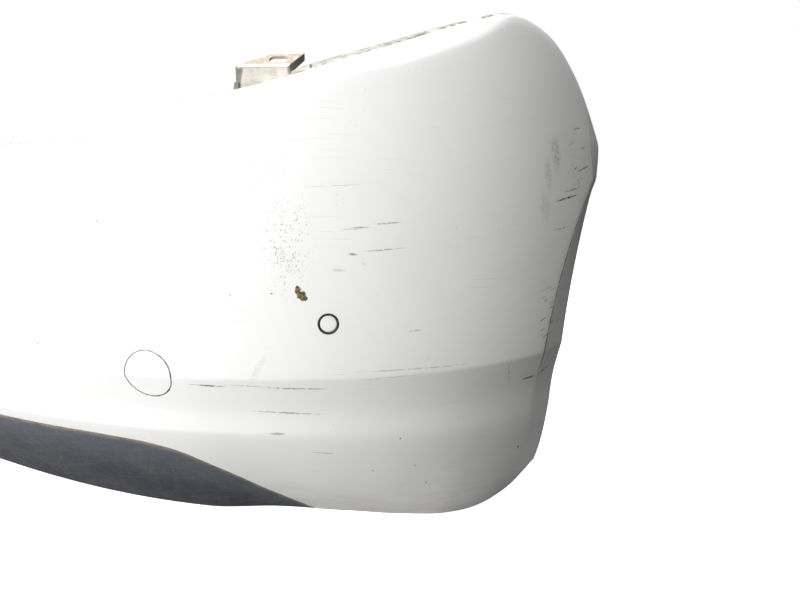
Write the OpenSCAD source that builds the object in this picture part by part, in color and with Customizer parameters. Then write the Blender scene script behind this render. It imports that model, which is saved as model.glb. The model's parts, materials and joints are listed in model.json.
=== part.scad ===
// Rear bumper cover of a small hatchback: a wrap-around moulded skin with its
// tow-eye cap, four parking sensors, lamp brackets, grained lower insert and clips.
// Millimetres, +Z up, +X to the car's right, +Y towards the front of the car.
// The origin is on the ground under the middle of the cover's box.

/* [Cover] */
// Half of the plan curve's width before the sides lean in
half_w = 890; // [870:5:910]
// Depth of the wrap from the rearmost point to the wing joint
wrap_d = 600; // [590:5:620]
// Squareness of the plan curve, where 2 is an ellipse
plan_n = 2.5; // [2.4:0.05:2.6]
// Wall thickness of the mouldings
wall = 3; // [2.6:0.1:3.2]
// Height of the sharp character crease
crease_z = 235; // [230:1:240]
// How far the skin leans in from the crease to its highest point
lean = 56; // [50:1:62]

/* [Wheel arch] */
// Height of the wheel arch's centre
arch_z = 175; // [172:1:178]
// Distance of the arch's centre in front of the middle
arch_y = 412; // [408:1:416]
// Radius of the arch's edge
arch_r = 303; // [300:1:306]
// Width of the bevelled lip along the arch
lip_w = 60; // [50:1:70]
// Slope of the bevelled lip
lip_slope = 0.17; // [0.12:0.01:0.2]

/* [Tow eye cap] */
// Radius of the round hole for the towing eye
tow_hole_r = 30.2; // [30:0.1:31]
// Radius of the cap that closes it
cap_r = 29.6; // [29:0.1:29.7]
// How far the cap pulls straight out
cap_pull = 40; // [30:1:45]

/* [Parking sensors] */
// Radius of each sensor hole
sensor_hole_r = 12.3; // [12.2:0.1:12.6]
// Height of the sensor row
sensor_z = 301; // [296:1:306]
// Distance of the inner sensors from the middle
inner_sensor_x = 210; // [190:5:230]
// Angle of the outer sensors round the plan curve
outer_sensor_a = 54.8; // [54:0.1:56]

/* [Fixings] */
// Radius of the fixing holes along the hatch flange
hatch_hole_r = 4; // [3.5:0.1:4.5]
// Distance of the inner hatch flange holes from the middle
hatch_inner_x = 150; // [120:10:180]
// Distance of the outer hatch flange holes from the middle
hatch_outer_x = 320; // [300:10:330]
// Radius of the screw holes under each lamp bracket
bracket_hole_r = 2.7; // [2.6:0.1:3]
// Radius of the push rivet holes
rivet_hole_r = 4.1; // [4:0.1:4.4]
// How far a rivet's centre pin slides
rivet_stroke = 6; // [4:0.5:7]

/* [Hidden] */
$fn = 64;

mid_y = wrap_d / 2;          // the plan curve's centre is in the plane of the wing joint
tip_z = 515;                 // height of the tip where wing joint and wheel arch meet
corner_z = 44;               // height where the arch edge meets the bottom edge
insert_end = 50.6;           // angle where the grained insert ends
corner_from = 51.4;          // angle where the corner's own lower edge reaches the ground
insert_columns = 22;         // grid columns from the middle to the insert's end
corner_columns = 20;         // grid columns from there to the arch edge
lip_flange = 14;             // width of the flange behind the arch edge
lip_lean = 1.6;              // how far that flange leans forward
gap = 0.4;                   // play between mouldings that lie on each other

// Outlines by angle round the plan curve, in degrees from the middle of the rear:
// height of the top edge over ledge, lamp seat, peak and wing joint
top_edge = [[0, 504], [24, 505], [29, 508], [33, 515], [37, 529], [40, 540], [45, 553], [50, 567],
    [56, 592], [62, 619], [68, 645], [73, 660], [78, 646], [83, 606], [90, tip_z]];
// height and depth of the bevel under the top edge, which is the hatch ledge in the middle
bevel_h = [[0, 38], [28, 38], [40, 33], [46, 18], [52, 10], [56, 12], [62, 20], [67, 18], [73, 4], [90, 4]];
bevel_d = [[0, 48], [22, 48], [33, 42], [40, 22], [46, 12], [52, 8], [56, 9], [62, 15], [67, 13], [73, 2], [90, 2]];
// width of the flange behind the top edge, and height of the strip that it ends in
flange_w = [[0, 28], [36, 28], [42, 12], [45, 12], [46.5, 42], [53, 42], [54.5, 12], [90, 12]];
strip_h = [[0, 3], [52.5, 3], [54.5, 7], [58, 6], [64, 4.5], [70, 3], [90, 3]];
// height of the skin's lower edge, over the insert and then round the corner
low_edge = [[0, 142], [30, 141], [36, 137], [40, 126], [44, 91], [48, 44], [insert_end, 20], [corner_from, 0],
    [68, 0], [73, 12], [78, corner_z]];
// width of the flange inside the lower edge, and its height over that edge
low_flange = [[0, 12], [50, 12], [53, 36], [62, 36], [68, 20], [78, 12]];
lip_rise = [[0, 3], [49, 3], [52, 11], [64, 11], [70, 6], [78, 6]];
// how far the lower edge lies inside the plan curve at ground level
under = [[0, 116], [40, 118], [48, 130], [56, 116], [62, 92], [67, 70], [72, 62], [79, 64]];

function slope(t, k) = (t[k + 1][1] - t[k][1]) / (t[k + 1][0] - t[k][0]);
function tangent(t, k) =
    k == 0 ? slope(t, 0) :
    k == len(t) - 1 ? slope(t, k - 1) :
    let (a = slope(t, k - 1), b = slope(t, k)) a * b <= 0 ? 0 : 2 * a * b / (a + b);
function span(t, x, k = 0) = (k >= len(t) - 2 || x < t[k + 1][0]) ? k : span(t, x, k + 1);
// A smooth curve through a table's points that never overshoots them
function curve(t, x) =
    let (c = min(max(x, t[0][0]), t[len(t) - 1][0]), k = span(t, c))
    let (h = t[k + 1][0] - t[k][0], u = (c - t[k][0]) / h)
    t[k][1] * (1 + 2 * u) * pow(1 - u, 2) + h * tangent(t, k) * u * pow(1 - u, 2)
    + t[k + 1][1] * u * u * (3 - 2 * u) - h * tangent(t, k + 1) * u * u * (1 - u);
function ease(a, b, x) = let (t = min(max((x - a) / (b - a), 0), 1)) t * t * (3 - 2 * t);
function mix(a, b, t) = a + (b - a) * t;
function unit(v) = v / norm(v);

// Plan curve: [x, y, outward x, outward y] at an angle from the middle of the rear
function plan(a) =
    let (s = sin(a), c = cos(a), n = plan_n)
    let (r = pow(pow(abs(s) / half_w, n) + pow(abs(c) / wrap_d, n), -1 / n))
    let (x = r * s, q = r * c, vx = sign(x) * pow(abs(x) / half_w, n - 1) / half_w)
    let (v = unit([vx, -sign(q) * pow(abs(q) / wrap_d, n - 1) / wrap_d]))
    [x, mid_y - q, v.x, v.y];
function angle_at_y(y) =
    let (q = max(mid_y - y, 0))
    atan2(half_w * pow(1 - pow(q / wrap_d, plan_n), 1 / plan_n), q);
function angle_at_x(x) =
    atan2(x, wrap_d * pow(1 - pow(abs(x) / half_w, plan_n), 1 / plan_n));
// Edge of the wheel arch: a circle, drawn out below its centre
function arch_edge_y(z) =
    let (h = (z - arch_z) * (z < arch_z ? 0.6 : 1))
    min(mid_y - lip_lean, arch_y - sqrt(max(arch_r * arch_r - h * h, 1)));
function arch_angle(z) = angle_at_y(arch_edge_y(z));

// How far the outer face lies inside the plan curve: lean above the crease, an undercut,
// a soft step and a roll under below it, then the arch lip and the top bevel
function inset(a, z) =
    let (p = abs(a), up = max(0, z - crease_z), lo = max(0, crease_z - z), w = ease(44, 66, p))
    let (undercut = mix(15, 8, w), step = mix(4, 3, w))
    let (roll = max(0, lo - 75) / (crease_z - 75))
    let (lip = max(0, lip_w - (arch_angle(z) - p) * PI / 180 * half_w) * lip_slope)
    let (bevel = max(0, 1 - (curve(top_edge, p) - z) / curve(bevel_h, p)))
    lean * pow(up / 430, 1.6) + undercut * min(lo / 45, 1) + step * min(max(lo - 45, 0) / 30, 1)
    + (curve(under, p) - undercut - step) * pow(roll, mix(1.1, 1.5, w))
    + lip * mix(0.35, 1, ease(40, 150, z)) * (1 - ease(430, tip_z, z))
    + bevel * curve(bevel_d, p);
// A point at an angle and height, a depth behind the outer face
function skin_pt(a, z, depth = 0) =
    flange_pt(a, z, depth, z);
// A point of a flange, whose depth is counted from the face at another height
function flange_pt(a, z, depth, face_z) =
    let (q = plan(a), d = inset(a, face_z) + depth) [q[0] - q[2] * d, q[1] - q[3] * d, z];
// The outward normal, averaged over a height of 2 h
function skin_n(a, z, h = 4) =
    unit(cross(skin_pt(a + 0.4, z) - skin_pt(a - 0.4, z), skin_pt(a, z + h) - skin_pt(a, z - h)));

// Puts children on the outer face: Z outwards, X level and Y up the face
module on_skin(a, z, h = 4) {
    n = skin_n(a, z, h);
    translate(skin_pt(a, z))
        rotate([0, acos(n.z), atan2(n.y, n.x)])
            rotate([0, 0, 90])
                children();
}
// A closed solid from rings of points: ring after ring is joined, and the ends are capped.
// A ring goes up the outer face and comes back down the inner face.
module loft(rings) {
    m = len(rings[0]);
    half = m / 2;
    n = len(rings);
    points = [for (r = rings) each r];
    sides = [for (i = [0 : n - 2], j = [0 : m - 1])
        let (a = i * m + j, b = i * m + (j + 1) % m)
        each [[a, b, b + m], [a, b + m, a + m]]];
    caps = [for (j = [0 : half - 2])
        let (a = j, b = j + 1, c = m - 2 - j, d = m - 1 - j, e = (n - 1) * m)
        each [[a, d, c], [a, c, b], [e + a, e + b, e + c], [e + a, e + c, e + d]]];
    polyhedron(points = points, faces = concat(sides, caps), convexity = 10);
}

// Heights of a column's rows, from the lower edge to the top edge
below = [1, 0.9, 0.75, 0.55, 0.3];
above = [0.04, 0.16, 0.3, 0.45, 0.6, 0.74, 0.86, 0.95, 1];
function row_heights(low, top, bevel) = concat(
    [for (f = below) crease_z - 75 - (crease_z - 75 - low) * f],
    [for (d = [75, 60, 45, 12, 0]) crease_z - d],
    [for (f = above) mix(crease_z, top - bevel, f)],
    [top - bevel / 2, top]
);
row_angles = [for (z = row_heights(corner_z, tip_z, curve(bevel_h, 90))) arch_angle(z)];
rows = len(row_angles);
low_end = row_angles[0];                     // the arch edge's angle at the lower edge
top_end = row_angles[rows - 1];              // and at the tip
// Columns as fractions of the way to the arch edge: some lie on the insert's own columns
fractions = concat(
    [for (i = [0 : insert_columns]) insert_end * i / insert_columns / low_end],
    [for (i = [0 : corner_columns]) mix(corner_from, low_end, i / corner_columns) / low_end]);
lip_turn = lip_lean / half_w * 180 / PI;     // the angle of the arch flange's lean
lip_back = wall / half_w * 180 / PI;         // the angle of one wall at the arch edge

// One ring of the skin at fraction u from the middle to the arch edge. The last ring on
// each side is pushed in by the arch flange, and its rear side stays one wall behind.
function skin_ring(u, push = 0) =
    let (s = abs(u), low_a = s * low_end, top_a = s * top_end)
    let (low = curve(low_edge, low_a), top = curve(top_edge, top_a))
    let (z = row_heights(low, top, curve(bevel_h, top_a)), ang = function (k) s * row_angles[k])
    let (fw = curve(flange_w, top_a), sh = curve(strip_h, top_a))
    let (lw = curve(low_flange, low_a), rise = low + curve(lip_rise, low_a))
    let (turn = push > 0 ? lip_turn : 0, back = s == 1 ? lip_back : 0)
    let (pushed = function (h) push * mix(1, 0.06, ease(tip_z - 120, tip_z - 40, h)))
    let (face = concat(
        [[low_a, rise, lw, low], [low_a, rise, 5, low]],
        [for (k = [0 : rows - 1]) [ang(k), z[k], 0, z[k]]],
        [[top_a, top, fw - 2, top], [top_a, top + sh, fw, top]]))
    let (rear = concat(
        [[low_a, rise + wall, lw, low], [low_a, rise + wall, 5 + wall, low]],
        [for (k = [0 : rows - 2]) let (h = max(z[k], rise + wall + 1 + k)) [ang(k), h, wall, h]],
        [[top_a, top - wall, wall, top - wall], [top_a, top - wall, fw - 2 + wall, top],
            [top_a, top + sh, fw + wall, top]]))
    concat(
        [for (p = face) flange_pt(sign(u) * (p[0] + turn), p[1], p[2] + pushed(p[1]), p[3])],
        [for (k = [len(rear) - 1 : -1 : 0]) let (p = rear[k], d = push > 0 ? max(p[2] - wall, 0) : p[2])
            flange_pt(sign(u) * max(p[0] + turn - back, 0), p[1], d + pushed(p[1]), p[3])]);

// Places of the holes
tow_a = 39.9;                                // angle of the tow eye round the plan curve
tow_z = 236;                                 // height of the tow eye
tow_h = 24;                                  // height over which its face is averaged
sensor_angles = [-outer_sensor_a, -angle_at_x(inner_sensor_x), angle_at_x(inner_sensor_x), outer_sensor_a];
bracket_a = 49.9;                            // angle of the lamp bracket's middle
bracket_hole_x = 17;                         // its screws, left and right of its middle
bracket_foot_y = 27;                         // and behind the top edge
rivet_angles = [55, 58];
rivet_depth = 24;                            // distance of the rivets inside the lower edge
arch_hole_z = [124, 300];                    // heights of the liner screws on the arch flange
arch_hole_depth = 9;
arch_hole_r = 4.2;
clip_bore_r = 2.1;                           // thread of the liner screws, on its core
hatch_hole_depth = 17;                       // distance of the hatch holes behind the top edge
tray_hole_x = [120, 330];
tray_hole_depth = 24;
tray_hole_r = 3.2;

// Children at each side: as drawn on the right, and mirrored on the left
module both_sides() {
    children();
    mirror([1, 0, 0]) children();
}
// Puts children on a flange: X along the plan curve, Y inwards, Z up
module on_flange(a, z, depth, face_z) {
    q = plan(a);
    translate(flange_pt(a, z, depth, face_z))
        rotate([0, 0, atan2(q[3], q[2]) + 90])
            children();
}
module at_bracket() {
    top = curve(top_edge, bracket_a);
    on_flange(bracket_a, top, 0, top) children();
}
module at_rivet(a) on_flange(a, 0, rivet_depth, 0) children();
// Puts children at a liner screw: X outwards, Y forwards and Z up along the arch flange
module at_arch_hole(z) {
    a = arch_angle(z);
    q = plan(a);
    lean_over = atan2(arch_edge_y(z + 5) - arch_edge_y(z - 5), 10);
    translate(flange_pt(a, z, arch_hole_depth, z))
        rotate([0, 0, atan2(q[3], q[2])])
            rotate([-lean_over, 0, 0])
                children();
}
module at_hatch_hole(x) {
    a = angle_at_x(x);
    top = curve(top_edge, abs(a));
    p = flange_pt(a, top, hatch_hole_depth, top);
    translate([x, p.y, top]) children();
}
module at_tray_hole(x) {
    a = angle_at_x(x);
    p = flange_pt(a, 0, tray_hole_depth, 0);
    translate([x, p.y, 0]) children();
}

module bumper_skin() {
    color([0.93, 0.93, 0.92])
    difference() {
        loft(concat(
            [skin_ring(-1, lip_flange)],
            [for (i = [len(fractions) - 1 : -1 : 1]) skin_ring(-fractions[i])],
            [for (u = fractions) skin_ring(u)],
            [skin_ring(1, lip_flange)]));
        on_skin(tow_a, tow_z, tow_h) cylinder(h = 60, r = tow_hole_r, center = true);
        for (a = sensor_angles)
            on_skin(a, sensor_z) cylinder(h = 30, r = sensor_hole_r, center = true);
        for (x = [hatch_inner_x, hatch_outer_x], side = [-1, 1])
            at_hatch_hole(side * x) cylinder(h = 20, r = hatch_hole_r, center = true);
        both_sides() {
            for (side = [-1, 1])
                on_bracket_foot(side) cylinder(h = 24, r = bracket_hole_r, center = true);
            for (a = rivet_angles)
                at_rivet(a) cylinder(h = 34, r = rivet_hole_r, center = true);
            for (z = arch_hole_z)
                at_arch_hole(z) rotate([90, 0, 0]) cylinder(h = 20, r = arch_hole_r, center = true);
        }
    }
}

tab_from = 49;                               // the riveted tab runs on behind the skin's corner
tab_to = 60.5;
tray_z = 13;                                 // height of the insert's floor flange
tray_w = 34;
insert_rows = [0, 0.08, 0.22, 0.4, 0.6, 0.8, 0.93, 1];
function insert_ring(a) =
    let (top = curve(low_edge, abs(a)), ref = top, z1 = top - gap, shelf = top + 2)
    let (floor_top = tray_z + wall)
    let (face = concat(
        [[tray_z, tray_w, 0], [tray_z, 9, 0]],
        [for (f = insert_rows) let (h = mix(0, z1, f)) [h, 0, h]],
        [[shelf, 6, ref], [shelf, 12, ref]]))
    let (rear = concat(
        [[floor_top, tray_w, 0], [floor_top, 9 + wall, 0]],
        [for (f = insert_rows) let (h = mix(floor_top + 0.6, shelf - wall - 0.6, f)) [h, wall, h]],
        [[shelf - wall, 6 + wall, ref], [shelf - wall, 12, ref]]))
    concat([for (p = face) flange_pt(a, p[0], p[1], p[2])],
        [for (k = [len(rear) - 1 : -1 : 0]) let (p = rear[k]) flange_pt(a, p[0], p[1], p[2])]);
function tab_ring(a) =
    let (near = mix(32, 12, ease(52.5, 55, a)))
    [for (p = [[16.4, near], [16.4, 36], [14.3, 36], [14.3, near]]) flange_pt(a, p[0], p[1], 0)];

module lower_valance() {
    color([0.16, 0.16, 0.17])
    difference() {
        union() {
            loft([for (i = [-insert_columns : insert_columns]) insert_ring(insert_end * i / insert_columns)]);
            both_sides() loft([for (i = [0 : 6]) tab_ring(mix(tab_from, tab_to, i / 6))]);
        }
        both_sides() for (a = rivet_angles)
            at_rivet(a) cylinder(h = 50, r = rivet_hole_r, center = true);
        for (x = tray_hole_x, side = [-1, 1])
            at_tray_hole(side * x) cylinder(h = 40, r = tray_hole_r, center = true);
    }
}

// A piece of the skin's own surface, to shape what lies flush with it
module skin_patch(a, half_a, low, high, depth) {
    heights = concat([for (i = [0 : 3]) mix(low, crease_z, i / 4)], [crease_z],
        [for (i = [1 : 3]) mix(crease_z, high, i / 3)]);
    loft([for (i = [-6 : 6]) let (b = a + half_a * i / 6) concat(
        [for (z = heights) skin_pt(b, z)],
        [for (k = [len(heights) - 1 : -1 : 0]) skin_pt(b, heights[k], depth)])]);
}
cap_wall = 2.6;
cap_leg_r = 23.5;
guide_r = 24.5;
module tow_eye_cap() {
    color([0.92, 0.92, 0.91])
    union() {
        intersection() {
            skin_patch(tow_a, 3, tow_z - 44, tow_z + 42, cap_wall + 1.4);
            on_skin(tow_a, tow_z, tow_h) cylinder(h = 60, r = cap_r, center = true);
        }
        on_skin(tow_a, tow_z, tow_h) difference() {
            translate([0, 0, -20]) cylinder(h = 18, r = cap_leg_r);
            translate([0, 0, -21]) cylinder(h = 20, r = cap_leg_r - 1.8);
            translate([-9, -30, -21]) cube([18, 60, 13]);
            translate([-30, -9, -21]) cube([60, 18, 13]);
        }
    }
}
module tow_eye_guide() {
    color([0.2, 0.2, 0.21])
    on_skin(tow_a, tow_z, tow_h) difference() {
        union() {
            translate([0, 0, -44]) cylinder(h = 33, r = guide_r + 2.5);
            translate([0, 0, -14]) cylinder(h = 3, r = guide_r + 13);
            for (k = [0 : 7]) rotate([0, 0, 45 * k])
                translate([guide_r + 1, -1, -32]) cube([8, 2, 19]);
        }
        translate([0, 0, -45]) cylinder(h = 36, r = guide_r);
    }
}

cup_r = 9.6;
ring_r = 12;
// The sensor's painted metal cup, flush with the skin
module sensor_cup(a) {
    color([0.93, 0.93, 0.92])
    on_skin(a, sensor_z) rotate_extrude()
        polygon([[0, -11.3], [cup_r, -11.3], [cup_r, -0.9], [cup_r - 0.6, -0.3], [0, -0.3]]);
}
// The rubber ring that decouples the cup from the skin
module sensor_ring(a) {
    color([0.09, 0.09, 0.09])
    on_skin(a, sensor_z) rotate_extrude()
        polygon([[cup_r + 0.05, -11], [ring_r, -11], [ring_r, -0.2], [ring_r - 0.5, 0.4],
            [cup_r + 0.5, 0.4], [cup_r + 0.05, -0.2]]);
}
housing = [30, 22, 20];                      // the sensor's electronics box
module sensor_housing(a) {
    color([0.12, 0.12, 0.13])
    on_skin(a, sensor_z) difference() {
        union() {
            translate([0, 0, -16]) cylinder(h = 4.5, r = ring_r - 0.4);
            translate([-housing.x / 2, -housing.y / 2, -36]) cube(housing);
            // plug shroud, open upwards
            translate([-plug.x / 2 - 1.5, housing.y / 2 - 0.5, -35]) cube([plug.x + 3, 12.5, plug.y + 3]);
        }
        translate([-plug.x / 2, housing.y / 2 + 1.5, -33.5]) cube([plug.x, 14, plug.y]);
    }
}
plug = [15, 10];                             // inside of the plug shroud
module sensor_holder(a) {
    color([0.18, 0.18, 0.19])
    on_skin(a, sensor_z) union() {
        difference() {
            translate([-24, -18, -11.5]) cube([48, 36, 3]);
            translate([0, 0, -12]) cylinder(h = 5, r = ring_r + 0.4);
        }
        for (s = [-1, 1]) {
            translate([s * 17 - 1.25, -8, -38.5]) cube([2.5, 16, 28]);
            translate([s * 16.2 - 1.6, -8, -39.5]) cube([3.2, 16, 2.9]);
            for (y = [-7, 6]) translate([s * 17 - (s < 0 ? 6 : 0), y, -18]) cube([6, 1.5, 8]);
        }
    }
}

bracket_ends = [-32, 27];                    // ends of the bracket's front wall along the edge
bracket_t = 2.4;                             // its wall
bracket_front_y = 14;                        // its front wall behind the top edge
bracket_top = 20;                            // its level top over the edge's height at its middle
bracket_back = [38, 38];                     // depth and height of its rear edge
bracket_flare = 16;                          // how far its outer end slants outwards
bracket_slope = 0.262;                       // the edge's climb along its length
bracket_clear = 2.05;                        // how far it clears the edge
bracket_foot = [20, 23];                     // each of its feet on the skin's flange
lamp_slot = [22, 11];                        // the oval hole for the lamp's stud
lamp_slot_x = 15;                            // and its middle along the bracket
module on_bracket_foot(side)
    at_bracket() rotate([0, -atan(bracket_slope), 0])
        translate([side * bracket_hole_x, bracket_foot_y, bracket_clear])
            children();
// the rear outline of its top plate: along the edge, and as a fraction of its depth
bracket_plate = [[3, 0.93], [-14, 0.55], [-30, 0.14]];
module lamp_bracket() {
    inner = bracket_ends[0];
    outer = bracket_ends[1];
    depth = bracket_back.x - bracket_front_y;
    slot_end = (lamp_slot.x - lamp_slot.y) / 2;
    foot_in = bracket_clear + inner * bracket_slope;
    foot_out = bracket_clear + outer * bracket_slope;
    flank = norm([bracket_flare, depth]);
    band = 8;
    tuck = 0.4;
    strip_end = flank - 2 * tuck;
    inner_foot_more = 4;
    color([0.78, 0.75, 0.68])
    difference() {
        union() {
            at_bracket() {
                // front wall over the climbing edge
                translate([0, bracket_front_y + bracket_t, 0]) rotate([90, 0, 0]) linear_extrude(bracket_t)
                    polygon([[inner, foot_in], [outer, foot_out], [outer, bracket_top], [inner, bracket_top]]);
                // sloping top plate, cut off towards its inner end and wider behind at its outer end
                intersection() {
                    rotate([90, 0, 90]) translate([0, 0, inner]) linear_extrude(2 * bracket_back.x)
                        polygon([[bracket_front_y, bracket_top - bracket_t],
                            [bracket_back.x, bracket_back.y - bracket_t],
                            bracket_back, [bracket_front_y, bracket_top]]);
                    translate([0, bracket_front_y, 0]) linear_extrude(2 * bracket_back.y)
                        polygon([[inner, 0], [outer, 0], [outer + bracket_flare, depth],
                            for (p = bracket_plate) [p.x, p.y * depth]]);
                }
                // end walls: a short one inside, and a slanting strip behind its post outside
                translate([inner, 0, 0]) rotate([90, 0, 90]) linear_extrude(bracket_t)
                    polygon([[bracket_front_y, foot_in], [bracket_front_y + 12, foot_in],
                        [bracket_front_y + 6, bracket_top * 0.6], [bracket_front_y + 4, bracket_top - 1],
                        [bracket_front_y, bracket_top - 1]]);
                translate([outer, bracket_front_y, 0]) rotate([0, 0, atan2(depth, bracket_flare)])
                    translate([0, bracket_t + tuck, 0]) rotate([90, 0, 0]) linear_extrude(bracket_t)
                        polygon([[0, foot_out], [4, foot_out], [4, bracket_top - band],
                            [strip_end, bracket_back.y - band], [strip_end, bracket_back.y - 2 * tuck],
                            [0, bracket_top - 2 * tuck]]);
            }
            // feet, which lie along the flange
            for (side = [-1, 1], more = side < 0 ? inner_foot_more : 0)
                on_bracket_foot(side)
                    translate([-bracket_foot.x / 2 - more, bracket_front_y - bracket_foot_y + 0.5, 0])
                        cube([bracket_foot.x + more, bracket_foot.y, bracket_t]);
        }
        for (side = [-1, 1])
            on_bracket_foot(side) cylinder(h = 12, r = bracket_hole_r, center = true);
        // oval hole for the lamp's stud
        at_bracket() translate([lamp_slot_x, bracket_foot_y, 0.7 * bracket_top]) {
            for (side = [-1, 1])
                translate([side * slot_end, 0, 0]) cylinder(h = 40, r = lamp_slot.y / 2);
            translate([-slot_end, -lamp_slot.y / 2, 0]) cube([2 * slot_end, lamp_slot.y, 40]);
        }
    }
}
module bracket_screws() {
    color([0.35, 0.35, 0.36])
    both_sides() for (side = [-1, 1])
        on_bracket_foot(side) translate([0, 0, bracket_t]) {
            difference() {
                cylinder(h = 4, r = 5);
                translate([0, 0, 1.6]) cylinder(h = 3, r = 2.2, $fn = 6);
            }
            translate([0, 0, -12]) cylinder(h = 12.5, r = bracket_hole_r - 0.25);
        }
}

rivet_head_z = 9;                            // underside of a rivet's head
module rivet_shells() {
    color([0.13, 0.13, 0.14])
    both_sides() for (a = rivet_angles) at_rivet(a) difference() {
        union() {
            translate([0, 0, rivet_head_z]) cylinder(h = 1.9, r = 8.5);
            translate([0, 0, rivet_head_z]) cylinder(h = 14, r = rivet_hole_r - 0.2);
            translate([0, 0, 17.2]) cylinder(h = 2, r1 = rivet_hole_r + 0.9, r2 = rivet_hole_r + 0.9);
        }
        translate([0, 0, rivet_head_z - 1]) cylinder(h = 2, r = 4.2);
        translate([0, 0, rivet_head_z - 1]) cylinder(h = 20, r = 2.3);
        for (k = [0, 90]) rotate([0, 0, k]) translate([-7, -0.6, 13]) cube([14, 1.2, 12]);
    }
}
// The pin that spreads a rivet: it pulls straight down to free it
module rivet_pin() {
    color([0.1, 0.1, 0.11])
    difference() {
        union() {
            translate([0, 0, rivet_head_z - 1.2]) cylinder(h = 2, r = 3.9);
            translate([0, 0, rivet_head_z]) cylinder(h = 12, r = 2.24);
            translate([0, 0, rivet_head_z + 12]) cylinder(h = 2, r1 = 2.24, r2 = 1.2);
        }
        translate([-2.6, -0.5, rivet_head_z - 2]) cube([5.2, 1, 1.6]);
        translate([-0.5, -2.6, rivet_head_z - 2]) cube([1, 5.2, 1.6]);
    }
}
rivet_places = [[-1, 58], [-1, 55], [1, 55], [1, 58]];
module placed_pin(i) {
    side = rivet_places[i - 1][0];
    a = rivet_places[i - 1][1];
    at_rivet(side * a) rivet_pin();
}

// Spring nuts for the liner screws, pushed over the arch flange
clip_w = 15;
clip_plate = 1;
module arch_clip_nuts() {
    front = 2.6;
    rear = -wall - 0.6;
    color([0.45, 0.45, 0.43])
    both_sides() for (z = arch_hole_z) at_arch_hole(z) difference() {
        union() {
            translate([-8, front, -clip_w / 2]) cube([11, clip_plate, clip_w]);
            translate([-8, rear - clip_plate, -clip_w / 2]) cube([11, clip_plate, clip_w]);
            translate([-8, rear - clip_plate, -clip_w / 2]) cube([clip_plate, front - rear + 2 * clip_plate, clip_w]);
            translate([0, rear, 0]) rotate([90, 0, 0]) cylinder(h = 6.5, r = 4);
        }
        translate([0, 8, 0]) rotate([90, 0, 0]) cylinder(h = 24, r = clip_bore_r);
    }
}

bumper_skin();
lower_valance();
tow_eye_cap();
tow_eye_guide();
for (i = [1 : 4]) {
    a = sensor_angles[i - 1];
    sensor_cup(a);
    sensor_ring(a);
    sensor_housing(a);
    sensor_holder(a);
    placed_pin(i);
}
lamp_bracket();  // lamp_bracket_right
mirror([1, 0, 0]) lamp_bracket();  // lamp_bracket_left
bracket_screws();
rivet_shells();
arch_clip_nuts();
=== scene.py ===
"""Rear bumper cover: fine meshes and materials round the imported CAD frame.

The skin, its lower insert and the tow eye cap are rebuilt from the same surface formula
as the CAD source, on much finer grids. Lengths in the formula are in millimetres, and
every mesh is written in metres.
"""
import json
import math

import bmesh
import bpy
import numpy as np
from mathutils import Matrix, Vector

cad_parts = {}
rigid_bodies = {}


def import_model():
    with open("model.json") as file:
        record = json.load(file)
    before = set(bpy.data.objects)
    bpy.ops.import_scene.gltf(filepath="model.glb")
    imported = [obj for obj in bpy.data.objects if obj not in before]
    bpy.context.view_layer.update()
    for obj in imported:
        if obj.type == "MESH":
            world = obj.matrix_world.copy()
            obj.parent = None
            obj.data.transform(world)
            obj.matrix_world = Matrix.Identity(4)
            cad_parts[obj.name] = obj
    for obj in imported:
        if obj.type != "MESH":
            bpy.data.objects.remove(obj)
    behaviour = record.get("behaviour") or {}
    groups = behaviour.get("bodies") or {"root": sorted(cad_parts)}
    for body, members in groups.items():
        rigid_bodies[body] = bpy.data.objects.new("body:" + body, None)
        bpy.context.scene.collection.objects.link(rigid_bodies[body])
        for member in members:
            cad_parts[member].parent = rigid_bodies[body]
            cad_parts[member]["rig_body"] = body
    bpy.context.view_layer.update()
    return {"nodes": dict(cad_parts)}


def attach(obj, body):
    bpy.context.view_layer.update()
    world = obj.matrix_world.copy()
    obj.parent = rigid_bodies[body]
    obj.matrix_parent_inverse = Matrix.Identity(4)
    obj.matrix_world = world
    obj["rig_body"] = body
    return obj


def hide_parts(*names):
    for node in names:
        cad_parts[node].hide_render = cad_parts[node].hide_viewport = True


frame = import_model()
MM = 0.001
RUN_TO_DEGREES = 180 / math.pi / 850    # millimetres along the face to degrees of angle, roughly

# ---------------------------------------------------------------- driving dimensions
HALF_W, WRAP_D, PLAN_N = 890.0, 600.0, 2.5
MID_Y = WRAP_D / 2
WALL = 3.0
CREASE_Z, LEAN = 235.0, 56.0
ARCH_Y, ARCH_Z, ARCH_R = 412.0, 175.0, 303.0
LIP_W, LIP_SLOPE, LIP_FLANGE, LIP_LEAN = 60.0, 0.17, 14.0, 1.6
TIP_Z, CORNER_Z = 515.0, 44.0
INSERT_END = 52.4
TOW_A, TOW_Z, TOW_H, TOW_HOLE_R, CAP_R = 39.9, 236.0, 24.0, 30.2, 29.6
SENSOR_Z, SENSOR_HOLE_R, CUP_R, RING_R = 301.0, 12.3, 9.6, 12.0
OUTER_SENSOR_A, INNER_SENSOR_X = 54.8, 210.0
GAP = 0.4
CREASE_SPREAD = (-2.6, -1.3, 0.0, 1.3, 2.6)   # heights averaged to round the creases

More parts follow.
